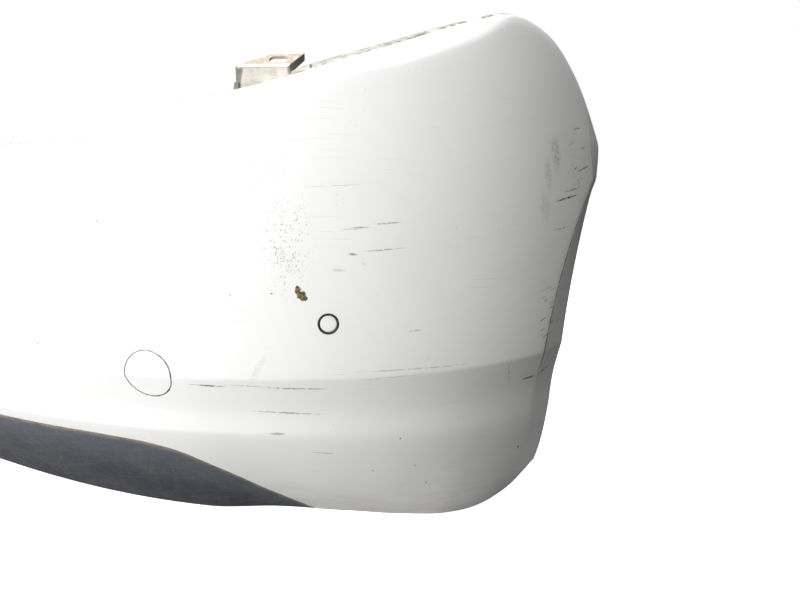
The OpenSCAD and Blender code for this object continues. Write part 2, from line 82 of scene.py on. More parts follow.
# Outlines in millimetres, by angle round the plan curve in degrees from the middle of the rear:
# heights, bevel, flange widths, the strip on the upper flange and the insert's joint
TOP_EDGE = [(0, 504), (24, 505), (29, 508), (33, 515), (37, 529), (40, 540), (45, 553), (50, 567),
            (56, 592), (62, 619), (68, 645), (73, 660), (78, 646), (83, 606), (90, TIP_Z)]
BEVEL_H = [(0, 38), (28, 38), (40, 33), (46, 18), (52, 10), (56, 12), (62, 20), (67, 18), (73, 4), (90, 4)]
BEVEL_D = [(0, 48), (22, 48), (33, 42), (40, 22), (46, 12), (52, 8), (56, 9), (62, 15), (67, 13),
           (73, 2), (90, 2)]
FLANGE_W = [(0, 28), (36, 28), (42, 12), (45, 12), (46.5, 42), (51.8, 42), (52.2, 12), (90, 12)]
STRIP_H = [(0, 3), (51.9, 3), (52.2, 5.5), (53.2, 7), (58, 6), (64, 4.5), (70, 3), (90, 3)]
LOW_EDGE = [(0, 142), (30, 141), (36, 137), (40, 126), (44, 91), (48, 44), (51, 15), (52.5, 2), (53, 0),
            (68, 0), (73, 12), (78, CORNER_Z)]
LOW_FLANGE = [(0, 12), (50, 12), (53, 36), (62, 36), (68, 20), (78, 12)]
LIP_RISE = [(0, 3), (49, 3), (52, 11), (64, 11), (70, 6), (78, 6)]
UNDER = [(0, 116), (40, 118), (48, 130), (56, 116), (62, 92), (67, 70), (72, 62), (79, 64)]


# ---------------------------------------------------------------- the surface formula
def curve(table, x):
    """A smooth curve through a table's points that never overshoots them."""
    xs, ys = np.array(table, float).T
    x = np.clip(np.asarray(x, float), xs[0], xs[-1])
    step = np.diff(xs)
    slope = np.diff(ys) / step
    a, b = slope[:-1], slope[1:]
    inner = np.where(a * b <= 0, 0.0, 2 * a * b / np.where(a + b == 0, 1, a + b))
    tangent = np.concatenate([slope[:1], inner, slope[-1:]])
    k = np.clip(np.searchsorted(xs, x, side="right") - 1, 0, len(xs) - 2)
    h, u = step[k], (x - xs[k]) / step[k]
    return (ys[k] * (1 + 2 * u) * (1 - u) ** 2 + h * tangent[k] * u * (1 - u) ** 2
            + ys[k + 1] * u * u * (3 - 2 * u) - h * tangent[k + 1] * u * u * (1 - u))


def ease(a, b, x):
    t = np.clip((np.asarray(x, float) - a) / (b - a), 0, 1)
    return t * t * (3 - 2 * t)


def mix(a, b, t):
    return a + (b - a) * t


def plan(a):
    """Plan curve at an angle: x, y, outward x, outward y."""
    s, c = np.sin(np.radians(a)), np.cos(np.radians(a))
    r = ((np.abs(s) / HALF_W) ** PLAN_N + (np.abs(c) / WRAP_D) ** PLAN_N) ** (-1 / PLAN_N)
    x, q = r * s, r * c
    nx = np.sign(x) * (np.abs(x) / HALF_W) ** (PLAN_N - 1) / HALF_W
    ny = -np.sign(q) * (np.abs(q) / WRAP_D) ** (PLAN_N - 1) / WRAP_D
    k = np.hypot(nx, ny)
    return x, MID_Y - q, nx / k, ny / k


def angle_at_y(y):
    q = np.maximum(MID_Y - y, 0)
    return np.degrees(np.arctan2(HALF_W * (1 - (q / WRAP_D) ** PLAN_N) ** (1 / PLAN_N), q))


def angle_at_x(x):
    return math.degrees(math.atan2(x, WRAP_D * (1 - (abs(x) / HALF_W) ** PLAN_N) ** (1 / PLAN_N)))


def arch_angle(z):
    h = (z - ARCH_Z) * np.where(z < ARCH_Z, 0.6, 1.0)
    y = np.minimum(MID_Y - LIP_LEAN, ARCH_Y - np.sqrt(np.maximum(ARCH_R ** 2 - h * h, 1)))
    return angle_at_y(y)


def soft_min(a, b, k):
    """The smaller of two values, with a rounded change-over of width k."""
    h = np.clip(0.5 + 0.5 * (b - a) / k, 0, 1)
    return mix(b, a, h) - k * h * (1 - h)


def inset(a, z):
    """How far the outer face lies inside the plan curve, its creases slightly rounded."""
    return sum(sharp_inset(a, z + h) for h in CREASE_SPREAD) / len(CREASE_SPREAD)


def sharp_inset(a, z):
    p = np.abs(a)
    up, lo = np.maximum(0, z - CREASE_Z), np.maximum(0, CREASE_Z - z)
    w = ease(44, 66, p)
    undercut, step = mix(15, 8, w), mix(4, 3, w)
    roll = np.maximum(0, lo - 75) / (CREASE_Z - 75)
    lip = np.maximum(0, LIP_W - (arch_angle(z) - p) * np.pi / 180 * HALF_W) * LIP_SLOPE
    bevel = np.maximum(0, 1 - (curve(TOP_EDGE, p) - z) / curve(BEVEL_H, p))
    return (LEAN * (up / 430) ** 1.6 + undercut * soft_min(lo / 45, 1.0, 0.12)
            + step * np.clip((lo - 45) / 30, 0, 1)
            + (curve(UNDER, p) - undercut - step) * roll ** mix(1.1, 1.5, w)
            + lip * mix(0.35, 1, ease(40, 150, z)) * (1 - ease(430, TIP_Z, z))
            + bevel * curve(BEVEL_D, p))


def point(a, z, depth=0.0, face_z=None):
    """Points at angle a and height z, a depth behind the outer face at height face_z."""
    x, y, nx, ny = plan(a)
    d = inset(a, z if face_z is None else face_z) + depth
    return np.stack(np.broadcast_arrays(x - nx * d, y - ny * d, z + 0 * x), -1)


class Seat:
    """A place on the outer face: X level, Y up the face and Z outwards."""

    def __init__(self, a, z, h=4.0):
        u = point(a + 0.4, z) - point(a - 0.4, z)
        v = point(a, z + h) - point(a, z - h)
        self.a, self.z, self.origin = a, z, point(a, z)
        self.n = np.cross(u, v)
        self.n /= np.linalg.norm(self.n)
        self.x = np.array([-self.n[1], self.n[0], 0]) / math.hypot(self.n[0], self.n[1])
        self.y = np.cross(self.n, self.x)

    def local(self, p):
        d = p - self.origin
        return np.stack([d @ self.x, d @ self.y, d @ self.n], -1)

    def world(self, x, y, z):
        x, y, z = np.broadcast_arrays(np.asarray(x, float), y, z)
        return self.origin + x[..., None] * self.x + y[..., None] * self.y + z[..., None] * self.n

    def on_face(self, x, y, depth=0.0):
        """The points of the skin, at a depth, that lie over local x and y."""
        a = self.a + np.asarray(x, float) * RUN_TO_DEGREES
        z = self.z + np.asarray(y, float)
        for _ in range(8):
            p = self.local(point(a, z, depth))
            da = self.local(point(a + 0.01, z, depth)) - p
            dz = self.local(point(a, z + 0.2, depth)) - p
            ex, ey = x - p[..., 0], y - p[..., 1]
            det = da[..., 0] * dz[..., 1] - dz[..., 0] * da[..., 1]
            a = a + 0.01 * (ex * dz[..., 1] - ey * dz[..., 0]) / det
            z = z + 0.2 * (ey * da[..., 0] - ex * da[..., 1]) / det
        return point(a, z, depth), a, z


def face_places(p, edge):
    """For points: metres from the arch edge, above an edge line and behind the plan curve."""
    p = np.asarray(p) / MM
    a = np.degrees(np.arctan2(p[:, 0], MID_Y - p[:, 1]))
    for _ in range(4):
        x, y, nx, ny = plan(a)
        run = ((p[:, 0] - x) * -ny + (p[:, 1] - y) * nx)
        a = np.clip(a + run * RUN_TO_DEGREES, -90, 90)
    x, y, nx, ny = plan(a)
    depth = (x - p[:, 0]) * nx + (y - p[:, 1]) * ny
    lip = (arch_angle(p[:, 2]) - np.abs(a)) * math.pi / 180 * HALF_W
    return np.stack([lip, p[:, 2] - curve(edge, np.abs(a)), depth], -1) * MM


# ---------------------------------------------------------------- mesh helpers
SHARP = 32.0          # degrees: edges that turn more than this stay sharp in the shading


def linked(name, data):
    """A new object, linked to the scene."""
    obj = bpy.data.objects.new(name, data)
    bpy.context.scene.collection.objects.link(obj)
    return obj


def mesh_from(name, verts, faces):
    """A mesh from points in millimetres."""
    mesh = bpy.data.meshes.new(name)
    mesh.from_pydata((np.asarray(verts) * MM).tolist(), [], faces)
    return mesh


def points_of(mesh):
    """A mesh's points in metres."""
    co = np.empty(len(mesh.vertices) * 3)
    mesh.vertices.foreach_get("co", co)
    return co.reshape(-1, 3)


def shade_smooth(mesh, sharp=SHARP):
    mesh.polygons.foreach_set("use_smooth", [True] * len(mesh.polygons))
    mesh.set_sharp_from_angle(angle=math.radians(sharp))


def keep_places(obj, edge):
    """Stores face_places on a mesh, for its material."""
    places = face_places(points_of(obj.data), edge)
    obj.data.attributes.new("place", "FLOAT_VECTOR", "POINT").data.foreach_set("vector", places.ravel())


def new_piece(name, verts, faces, sharp=SHARP, body="cover"):
    """A smooth-shaded mesh object, from points in millimetres, that rides on a body."""
    mesh = mesh_from(name, verts, faces)
    mesh.validate()
    shade_smooth(mesh, sharp)
    obj = linked(name, mesh)
    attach(obj, body)
    return obj


def loft(rings):
    """A closed solid from rings of points: ring i goes round, and the two ends are capped."""
    rings = np.asarray(rings)
    n, m = rings.shape[:2]
    i, j = np.meshgrid(np.arange(n - 1), np.arange(m), indexing="ij")
    a, b = i * m + j, i * m + (j + 1) % m
    sides = np.stack([a, b, b + m, a + m], -1).reshape(-1, 4).tolist()
    k, e = np.arange(m // 2 - 1), (n - 1) * m
    near = np.stack([k, m - 1 - k, m - 2 - k, k + 1], -1)
    far = np.stack([e + k, e + k + 1, e + m - 2 - k, e + m - 1 - k], -1)
    return rings.reshape(-1, 3), sides + near.tolist() + far.tolist()


def revolve(profile, steps=96, arc=360.0, start=0.0):
    """A closed solid of revolution about Z from an (r, z) outline that ends on the axis."""
    turns = np.radians(start + arc * np.arange(steps) / steps)
    prof = np.asarray(profile, float)
    verts = [(0, 0, prof[0][1]), (0, 0, prof[-1][1])] if prof[0][0] == 0 else []
    first = len(verts)
    ring = prof[1:-1] if first else prof
    for t in turns:
        verts += [(r * math.cos(t), r * math.sin(t), z) for r, z in ring]
    m = len(ring)
    faces = []
    for i in range(steps):
        a, b = first + i * m, first + (i + 1) % steps * m
        for j in range(m - 1 if first else m):
            k = (j + 1) % m
            faces.append((a + j, b + j, b + k, a + k))
        if first:
            faces += [(0, b, a), (1, a + m - 1, b + m - 1)]
    return np.array(verts), faces


def rounded(outline, r, steps=4):
    """An outline of (x, y) points with its corners rounded by radius r."""
    pts = [np.array(p, float) for p in outline]
    out = []
    for i, p in enumerate(pts):
        a, b = pts[i - 1] - p, pts[(i + 1) % len(pts)] - p
        la, lb = np.linalg.norm(a), np.linalg.norm(b)
        cut = min(r, 0.45 * la, 0.45 * lb)
        start, end = p + a / la * cut, p + b / lb * cut
        for k in range(steps + 1):
            t = k / steps
            out.append(start * (1 - t) ** 2 + 2 * p * t * (1 - t) + end * t * t)
    return np.array(out)


SLIVER = 2e-6         # metres: edges shorter than this are closed up
SMALLEST_SOLID = 8    # faces: anything with fewer is a scrap


def softened(node, name, width=0.4, corner=35.0):
    """A copy of a CAD node with its corners rounded, which stands for that node."""
    source = frame["nodes"][node]
    mesh = source.data.copy()
    mesh.name = name
    bm = bmesh.new()
    bm.from_mesh(mesh)
    bmesh.ops.remove_doubles(bm, verts=bm.verts, dist=1e-5)
    bmesh.ops.dissolve_limit(bm, angle_limit=math.radians(1), verts=bm.verts, edges=bm.edges)
    edges = [e for e in bm.edges
             if len(e.link_faces) == 2 and e.calc_face_angle(0) > math.radians(corner)]
    bmesh.ops.bevel(bm, geom=edges, offset=width * MM, segments=2, profile=0.5, affect="EDGES",
                    clamp_overlap=True)
    bm.to_mesh(mesh)
    bm.free()
    sweep(mesh)
    shade_smooth(mesh, 40.0)
    obj = linked(name, mesh)
    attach(obj, source["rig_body"])
    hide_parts(node)
    return obj


def sweep(mesh):
    """Takes slivers and loose scraps out of a mesh."""
    bm = bmesh.new()
    bm.from_mesh(mesh)
    bmesh.ops.dissolve_degenerate(bm, dist=SLIVER, edges=bm.edges)
    seen, scraps = set(), []
    for start in bm.faces:
        if start in seen:
            continue
        island, queue = [], [start]
        seen.add(start)
        while queue:
            face = queue.pop()
            island.append(face)
            for edge in face.edges:
                near = [f for f in edge.link_faces if f not in seen]
                seen.update(near)
                queue += near
        if len(island) < SMALLEST_SOLID:
            scraps += island
    bmesh.ops.delete(bm, geom=scraps, context="FACES")
    bm.to_mesh(mesh)
    bm.free()


def placed(shape, seat):
    """A (verts, faces) shape moved to a 4 x 4 seat, and turned outside in if the seat mirrors."""
    verts, faces = shape
    moved = np.asarray(verts) @ seat[:3, :3].T + seat[:3, 3]
    if np.linalg.det(seat[:3, :3]) < 0:
        faces = [tuple(reversed(f)) for f in faces]
    return moved, faces


def joined(shapes):
    """Several (verts, faces) shapes as one."""
    verts, faces, start = [], [], 0
    for v, f in shapes:
        verts.append(np.asarray(v))
        faces += [tuple(int(k) + start for k in face) for face in f]
        start += len(v)
    return np.concatenate(verts), faces


def seat_matrix(origin, x, y, z):
    m = np.eye(4)
    m[:3, 0], m[:3, 1], m[:3, 2], m[:3, 3] = x, y, z, origin
    return m


def shift(x=0.0, y=0.0, z=0.0):
    return seat_matrix((x, y, z), (1, 0, 0), (0, 1, 0), (0, 0, 1))


def turn_x(deg):
    c, s = math.cos(math.radians(deg)), math.sin(math.radians(deg))
    return seat_matrix((0, 0, 0), (1, 0, 0), (0, c, s), (0, -s, c))


def turn_y(deg):
    c, s = math.cos(math.radians(deg)), math.sin(math.radians(deg))
    return seat_matrix((0, 0, 0), (c, 0, -s), (0, 1, 0), (s, 0, c))


MIRROR = np.diag([-1.0, 1.0, 1.0, 1.0])
SIDES = {"right": np.eye(4), "left": MIRROR}


def face_seat(a, z, h=4.0):
    s = Seat(a, z, h)
    return seat_matrix(s.origin, s.x, s.y, s.n)


def flange_seat(a, z, depth, face_z):
    """A seat on a flange: X along the plan curve, Y inwards, Z up."""
    _, _, nx, ny = plan(a)
    return seat_matrix(point(a, z, depth, face_z), (-ny, nx, 0), (-nx, -ny, 0), (0, 0, 1))


# ---------------------------------------------------------------- the painted skin
EDGE_R = 2.2          # rounding of the moulded edges
BASE_ROWS = 24        # grid rows between the lower edge and the soft step
TOP_ROWS = 40         # and between the crease and the bevel
SKIN_COLUMNS = 170    # grid columns on each side of the middle
CLOSE_COLUMNS = [(51.6, 53.2, 14, 89.9), (50.2, 53.2, 14, 78.3)]  # and where an outline turns quickly
NEAR_CREASE = np.array([1.2, 2.6, 4.5, 8, 14.0])
STEP_ROWS = np.array([75, 72.5, 69, 62, 54, 50, 47.5, 45, 42.5, 39, 32, 24])


def row_heights(low, top, bevel):
    """Heights of a column's rows, close together where the section turns."""
    knee = CREASE_Z - STEP_ROWS[0]
    base = mix(low, knee, np.linspace(0, 1, BASE_ROWS + 1)[:-1] ** 0.9)
    first = CREASE_Z + NEAR_CREASE[-1]
    end = top - bevel
    up = mix(first, end, np.linspace(0, 1, TOP_ROWS + 1)[1:])
    rim = [end + 0.25 * bevel, end + 0.5 * bevel, end + 0.75 * bevel, top - min(EDGE_R, 0.2 * bevel)]
    return np.concatenate([base, CREASE_Z - STEP_ROWS, CREASE_Z - NEAR_CREASE[::-1], [CREASE_Z],
                           CREASE_Z + NEAR_CREASE, up, rim])


ROW_ANGLES = arch_angle(row_heights(CORNER_Z, TIP_Z, curve(BEVEL_H, 90)))
LOW_END, TOP_END = ROW_ANGLES[0], float(arch_angle(np.array(TIP_Z)))
TO_DEGREES = 180 / math.pi / HALF_W      # millimetres along the arch edge to degrees


def skin_ring(u, push=0.0, along=0.0, folded=False):
    """One ring of the skin at fraction u of the way from the middle to the arch edge."""
    s = abs(u)
    low_a, top_a = s * LOW_END, s * TOP_END
    low, top = curve(LOW_EDGE, low_a), curve(TOP_EDGE, top_a)
    z, ang = row_heights(low, top, curve(BEVEL_H, top_a)), s * ROW_ANGLES
    fw, sh = curve(FLANGE_W, top_a), curve(STRIP_H, top_a)
    lw, rise = curve(LOW_FLANGE, low_a), curve(LIP_RISE, low_a)
    face = [(low_a, low + f * rise, d, low) for f, d in
            ((1, lw), (1, 6.5), (0.95, 5), (0.6, 3.6), (0.2, 2.2), (0.03, 1.1))]
    face += [(a, h, 0, h) for a, h in zip(ang, z)]
    face += [(top_a, top - 0.25 * EDGE_R, 0.3 * EDGE_R, top), (top_a, top, EDGE_R, top)]
    face += [(top_a, top, fw - 3, top), (top_a, top + 0.3 * min(sh, 3), fw - 1, top),
             (top_a, top + sh, fw, top)]
    floor = low + rise + WALL
    rear = [(low_a, floor, mix(lw, 5 + WALL, t), low) for t in np.linspace(0, 1, 6)]
    inner = np.maximum(z, floor + 1 + 0.2 * np.arange(len(z)))
    rear += [(a, h, WALL, h) for a, h in zip(ang, np.minimum(inner, top - WALL))]
    rear += [(top_a, top - WALL, WALL + t * (fw - 3), top) for t in (0.02, 0.35, 0.7, 1)]
    rear += [(top_a, top + sh, fw + WALL, top)]
    face, rear = np.array(face), np.array(rear)[::-1]
    fade = lambda h: mix(1, 0.06, ease(TIP_Z - 120, TIP_Z - 40, h))
    face[:, 2] += push * fade(face[:, 1])
    face[:, 0] += along * TO_DEGREES
    if folded:
        rear[:, 2] = np.maximum(rear[:, 2] - WALL, 0) + push * fade(rear[:, 1])
        rear[:, 0] += along * TO_DEGREES
    if s == 1:
        rear[:, 0] -= WALL * TO_DEGREES
    ring = np.concatenate([face, rear])
    side = 1 if u >= 0 else -1
    return point(side * ring[:, 0], ring[:, 1], ring[:, 2], ring[:, 3]), len(face)


def skin_shape():
    # the folded arch flange: how far each ring lies inside and along from the edge
    fold = [(0.25, -0.9, False), (0.9, -0.25, False), (2.2, 0, False), (5, 0.45, True),
            (LIP_FLANGE, LIP_LEAN, True)]
    half = [np.linspace(0, 1, SKIN_COLUMNS + 1)]
    half += [np.linspace(a, b, n) / end for a, b, n, end in CLOSE_COLUMNS]
    half = np.unique(np.concatenate(half).round(5))
    u = np.concatenate([-half[:0:-1], half])
    rings = [skin_ring(-1, *f)[0] for f in reversed(fold)]
    rings += [skin_ring(v)[0] for v in u]
    rings += [skin_ring(1, *f)[0] for f in fold]
    return loft(rings), skin_ring(0)[1], len(rings)


# ---------------------------------------------------------------- places of the holes
BRACKET_A, BRACKET_HOLE_X, BRACKET_FOOT_Y = 49.9, 17.0, 27.0
BRACKET_SLOPE, BRACKET_CLEAR, BRACKET_HOLE_R = 0.262, 2.05, 2.7
RIVET_ANGLES, RIVET_DEPTH, RIVET_HOLE_R = (55.0, 58.0), 24.0, 4.1
ARCH_HOLE_Z, ARCH_HOLE_DEPTH, ARCH_HOLE_R = (124.0, 300.0), 9.0, 4.2
HATCH_HOLE_X, HATCH_HOLE_DEPTH, HATCH_HOLE_R = (150.0, 320.0), 17.0, 4.0
TRAY_HOLE_X, TRAY_HOLE_DEPTH, TRAY_HOLE_R = (120.0, 330.0), 24.0, 3.2
SENSOR_ANGLES = (-OUTER_SENSOR_A, -angle_at_x(INNER_SENSOR_X), angle_at_x(INNER_SENSOR_X), OUTER_SENSOR_A)


def bracket_seat():
    top = curve(TOP_EDGE, BRACKET_A)
    return flange_seat(BRACKET_A, top, 0, top)


def bracket_foot_seat(side):
    tilt = turn_y(-math.degrees(math.atan(BRACKET_SLOPE)))
    return bracket_seat() @ tilt @ shift(side * BRACKET_HOLE_X, BRACKET_FOOT_Y, BRACKET_CLEAR)


def arch_seat(z):
    a = float(arch_angle(np.array(z)))
    edge = lambda h: ARCH_Y - math.sqrt(ARCH_R ** 2 - ((h - ARCH_Z) * (0.6 if h < ARCH_Z else 1)) ** 2)
    _, _, nx, ny = plan(a)
    base = seat_matrix(point(a, z, ARCH_HOLE_DEPTH, z), (nx, ny, 0), (-ny, nx, 0), (0, 0, 1))
    return base @ turn_x(-math.degrees(math.atan2(edge(z + 5) - edge(z - 5), 10)))


def drill(r, length, steps=64):
    return revolve([(0, -length / 2), (r, -length / 2), (r, length / 2), (0, length / 2)], steps)


def skin_drills():
    drills = [placed(drill(TOW_HOLE_R, 60, 128), face_seat(TOW_A, TOW_Z, TOW_H))]
    for a in SENSOR_ANGLES:
        drills.append(placed(drill(SENSOR_HOLE_R, 30, 96), face_seat(a, SENSOR_Z)))
    for x in HATCH_HOLE_X:
        a = angle_at_x(x)
        top = curve(TOP_EDGE, a)
        y = point(a, top, HATCH_HOLE_DEPTH, top)[1]
        drills += [placed(drill(HATCH_HOLE_R, 20), shift(side * x, y, top)) for side in (-1, 1)]
    for mirror in SIDES.values():
        for side in (-1, 1):
            drills.append(placed(drill(BRACKET_HOLE_R, 24, 32), mirror @ bracket_foot_seat(side)))
        for a in RIVET_ANGLES:
            drills.append(placed(drill(RIVET_HOLE_R, 34, 32), mirror @ flange_seat(a, 0, RIVET_DEPTH, 0)))
        for z in ARCH_HOLE_Z:
            drills.append(placed(drill(ARCH_HOLE_R, 20, 32), mirror @ arch_seat(z) @ turn_x(90)))
    return drills


def cut(obj, shapes):
    """Takes the joined shapes out of an object, for good."""
    mesh = mesh_from("drill", *joined(shapes))
    tool = linked("drill", mesh)
    mod = obj.modifiers.new("holes", "BOOLEAN")
    mod.operation, mod.solver, mod.object = "DIFFERENCE", "EXACT", tool
    bpy.context.view_layer.update()
    ready = bpy.data.meshes.new_from_object(obj.evaluated_get(bpy.context.evaluated_depsgraph_get()))
    obj.modifiers.clear()
    old, obj.data = obj.data, ready
    ready.name = obj.name
    bpy.data.meshes.remove(old)
    bpy.data.objects.remove(tool)
    bpy.data.meshes.remove(mesh)
    sweep(ready)
    shade_smooth(ready)


def drilled(shape, tools):
    """A (verts, faces) shape with other shapes taken out of it."""
    blank = linked("blank", mesh_from("blank", *shape))
    cut(blank, tools)
    mesh = blank.data
    verts, faces = points_of(mesh) / MM, [tuple(face.vertices) for face in mesh.polygons]
    bpy.data.objects.remove(blank)
    bpy.data.meshes.remove(mesh)
    return verts, faces


def make_skin():
    (verts, faces), front, count = skin_shape()
    skin = new_piece("painted_skin", verts, faces)
    skin.data.materials.append(None)
    skin.data.materials.append(None)
    around = len(verts) // count
    inner = np.zeros(len(faces), dtype=np.int32)
    inner[:(count - 1) * around].reshape(-1, around)[:, front:] = 1
    skin.data.polygons.foreach_set("material_index", inner)
    cut(skin, skin_drills())
    keep_places(skin, TOP_EDGE)
    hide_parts("bumper_skin")
    return skin


# ---------------------------------------------------------------- the grained insert
TRAY_Z, TRAY_W, TAB_FROM, TAB_TO = 13.0, 34.0, 49.0, 60.5
INSERT_COLUMNS, INSERT_ROWS = 150, 30


def insert_ring(a):
    """One ring of the insert; towards its pointed ends the hollow section closes up."""
    p = abs(a)
    top, thin = curve(LOW_EDGE, p), ease(49.6, 51.0, p)
    z1 = top - GAP
    shelf = mix(top + 2, z1, thin)
    tray_z, tray_w = mix(TRAY_Z, 0.3 * z1, thin), mix(TRAY_W, 0.95 * WALL, thin)
    foot, lip = mix(9, 0.7 * WALL, thin), mix(12, 0.8 * WALL, thin)
    low = mix(0.5, 0.1 * z1, thin)
    face = [(tray_z, tray_w, 0), (tray_z, foot, 0), (0.55 * tray_z, 0.6 * foot, 0), (0.12 * tray_z, 1.5, 0),
            (0, 0.6, 0)]
    face += [(h, 0, h) for h in np.linspace(low, z1 - low, INSERT_ROWS)]
    face += [(mix(z1, shelf, 0.05), 0.5, top), (mix(z1, shelf, 0.25), 1.6, top),
             (shelf, 0.5 * lip, top), (shelf, lip, top)]
    floor, roof = mix(TRAY_Z + WALL, 0.4 * z1, thin), mix(top + 2 - WALL, z1 - 0.05, thin)
    corner = mix(9 + WALL, WALL, thin)
    rear = [(floor, mix(tray_w, corner, t), 0) for t in (0, 0.35, 0.7, 1)]
    low, high = mix(floor + 0.6, 0.45 * z1, thin), mix(roof - 0.6, 0.9 * z1, thin)
    rear += [(h, WALL, h) for h in np.linspace(low, high, INSERT_ROWS + 2)]
    rear += [(roof, mix(WALL, lip, t), top) for t in (0.3, 0.65, 1)]
    ring = np.array(face + rear[::-1])
    return point(a, ring[:, 0], ring[:, 1], ring[:, 2])


def tab_ring(a):
    near = mix(32, 12, ease(52.5, 55, a))
    ring = np.array([(16.4, near), (16.4, 24), (16.4, 36), (14.3, 36), (14.3, 24), (14.3, near)])
    return point(a, ring[:, 0], ring[:, 1], 0.0)


def make_insert():
    angles = INSERT_END * np.sin(np.linspace(-1, 1, 2 * INSERT_COLUMNS + 1) * math.pi / 2 * 0.86)
    angles *= INSERT_END / angles[-1]
    shapes = [loft([insert_ring(a) for a in angles])]
    tab = loft([tab_ring(a) for a in np.linspace(TAB_FROM, TAB_TO, 24)])
    shapes += [placed(tab, mirror) for mirror in SIDES.values()]
    drills = []
    for x in TRAY_HOLE_X:
        y = point(angle_at_x(x), 0, TRAY_HOLE_DEPTH, 0)[1]
        drills += [placed(drill(TRAY_HOLE_R, 40, 32), shift(side * x, y, 0)) for side in (-1, 1)]
    for mirror in SIDES.values():
        for a in RIVET_ANGLES:
            drills.append(placed(drill(RIVET_HOLE_R, 50, 32), mirror @ flange_seat(a, 0, RIVET_DEPTH, 0)))
    insert = new_piece("grained_insert", *joined(shapes), sharp=40)
    insert.data.materials.append(None)
    cut(insert, drills)
    keep_places(insert, LOW_EDGE)
    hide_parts("lower_valance")
    return insert


# ---------------------------------------------------------------- the tow eye cap
CAP_WALL, LEG_R, LEG_T, LEG_END, LEG_GAP = 2.6, 23.5, 1.8, 20.0, 18.0
CAP_RINGS, CAP_STEPS = 44, 160


def make_cap():
    """A disc that follows the skin's own surface, on four sprung legs."""
    seat = Seat(TOW_A, TOW_Z, TOW_H)
    flat = CAP_R - 1.2
    section = [(flat * k / CAP_RINGS, 0.0) for k in range(1, CAP_RINGS + 1)]
    section += [(CAP_R - 0.55, 0.12), (CAP_R - 0.16, 0.42), (CAP_R, 0.95), (CAP_R, CAP_WALL),
                (CAP_R - 1.6, CAP_WALL), (LEG_R, CAP_WALL), (0.5 * LEG_R, CAP_WALL)]
    t = np.linspace(0, 2 * math.pi, CAP_STEPS, endpoint=False)
    rows = [seat.on_face(r * np.cos(t), r * np.sin(t), d)[0] for r, d in section]
    ends = [seat.on_face(np.zeros(1), np.zeros(1), d)[0] for d in (0.0, CAP_WALL)]
    verts = np.concatenate(rows + ends)
    n, m = len(rows), CAP_STEPS
    faces = []
    for k in range(m):
        k1 = (k + 1) % m
        faces += [(i * m + k, (i + 1) * m + k, (i + 1) * m + k1, i * m + k1) for i in range(n - 1)]
        faces += [(n * m, k, k1), (n * m + 1, (n - 1) * m + k1, (n - 1) * m + k)]
    shapes = [(verts, faces)]
    half = 45 - math.degrees(math.asin(LEG_GAP / 2 / LEG_R))
    outer = [(LEG_R, 0), (LEG_R, -14), (LEG_R + 0.2, -15.5), (LEG_R + 0.75, -17), (LEG_R + 0.5, -18.6),
             (LEG_R - 0.4, -LEG_END)]
    inner = [(LEG_R - LEG_T, z) for z in (-19.6, -18, -16.5, -15, -13, 0)]
    for middle in (45, 135, 225, 315):
        rings = []
        for turn in np.radians(np.linspace(middle - half, middle + half, 13)):
            x, y = math.cos(turn), math.sin(turn)
            # a leg's own end at height 0 is moved to the middle of the disc's wall
            in_wall = seat.on_face(np.array([LEG_R * x]), np.array([LEG_R * y]), CAP_WALL / 2)[0][0]
            root = (in_wall - seat.origin) @ seat.n
            rings.append([(r * x, r * y, z or root) for r, z in outer + inner])
        shapes.append(placed(loft(rings), seat_matrix(seat.origin, seat.x, seat.y, seat.n)))
    cap = new_piece("tow_cap_disc", *joined(shapes), body="tow_cap")
    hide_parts("tow_eye_cap")
    return cap


# ---------------------------------------------------------------- the parking sensors
def make_sensor(i):
    seat = face_seat(SENSOR_ANGLES[i - 1], SENSOR_Z)
    r = CUP_R
    cup = revolve([(0, -11.3), (r, -11.3), (r, -1.3), (r - 0.12, -0.75), (r - 0.45, -0.42), (r - 1.0, -0.3),
                   (0.6 * r, -0.27), (0, -0.25)])
    piece = new_piece(f"sensor_face_{i}", *placed(cup, seat))
    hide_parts(f"sensor_cup_{i}")
    inner, outer = CUP_R + 0.05, RING_R
    bead = [(inner, -10.8), (outer, -10.8), (outer, -0.35), (outer - 0.15, 0.05), (outer - 0.5, 0.3),
            (outer - 1.0, 0.38), (inner + 0.9, 0.34), (inner + 0.4, 0.15), (inner + 0.1, -0.15),
            (inner, -0.5)]
    ring = new_piece(f"sensor_seal_{i}", *placed(revolve(bead), seat))
    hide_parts(f"sensor_ring_{i}")
    return piece, ring


# ---------------------------------------------------------------- the lamp brackets
BRACKET_IN, BRACKET_OUT, BRACKET_T, BRACKET_FRONT_Y, BRACKET_TOP = -32.0, 27.0, 2.4, 14.0, 20.0
BRACKET_BACK_Y, BRACKET_BACK_Z, BRACKET_FLARE = 38.0, 38.0, 16.0
SLOT_X, SLOT_L, SLOT_W = 15.0, 22.0, 11.0


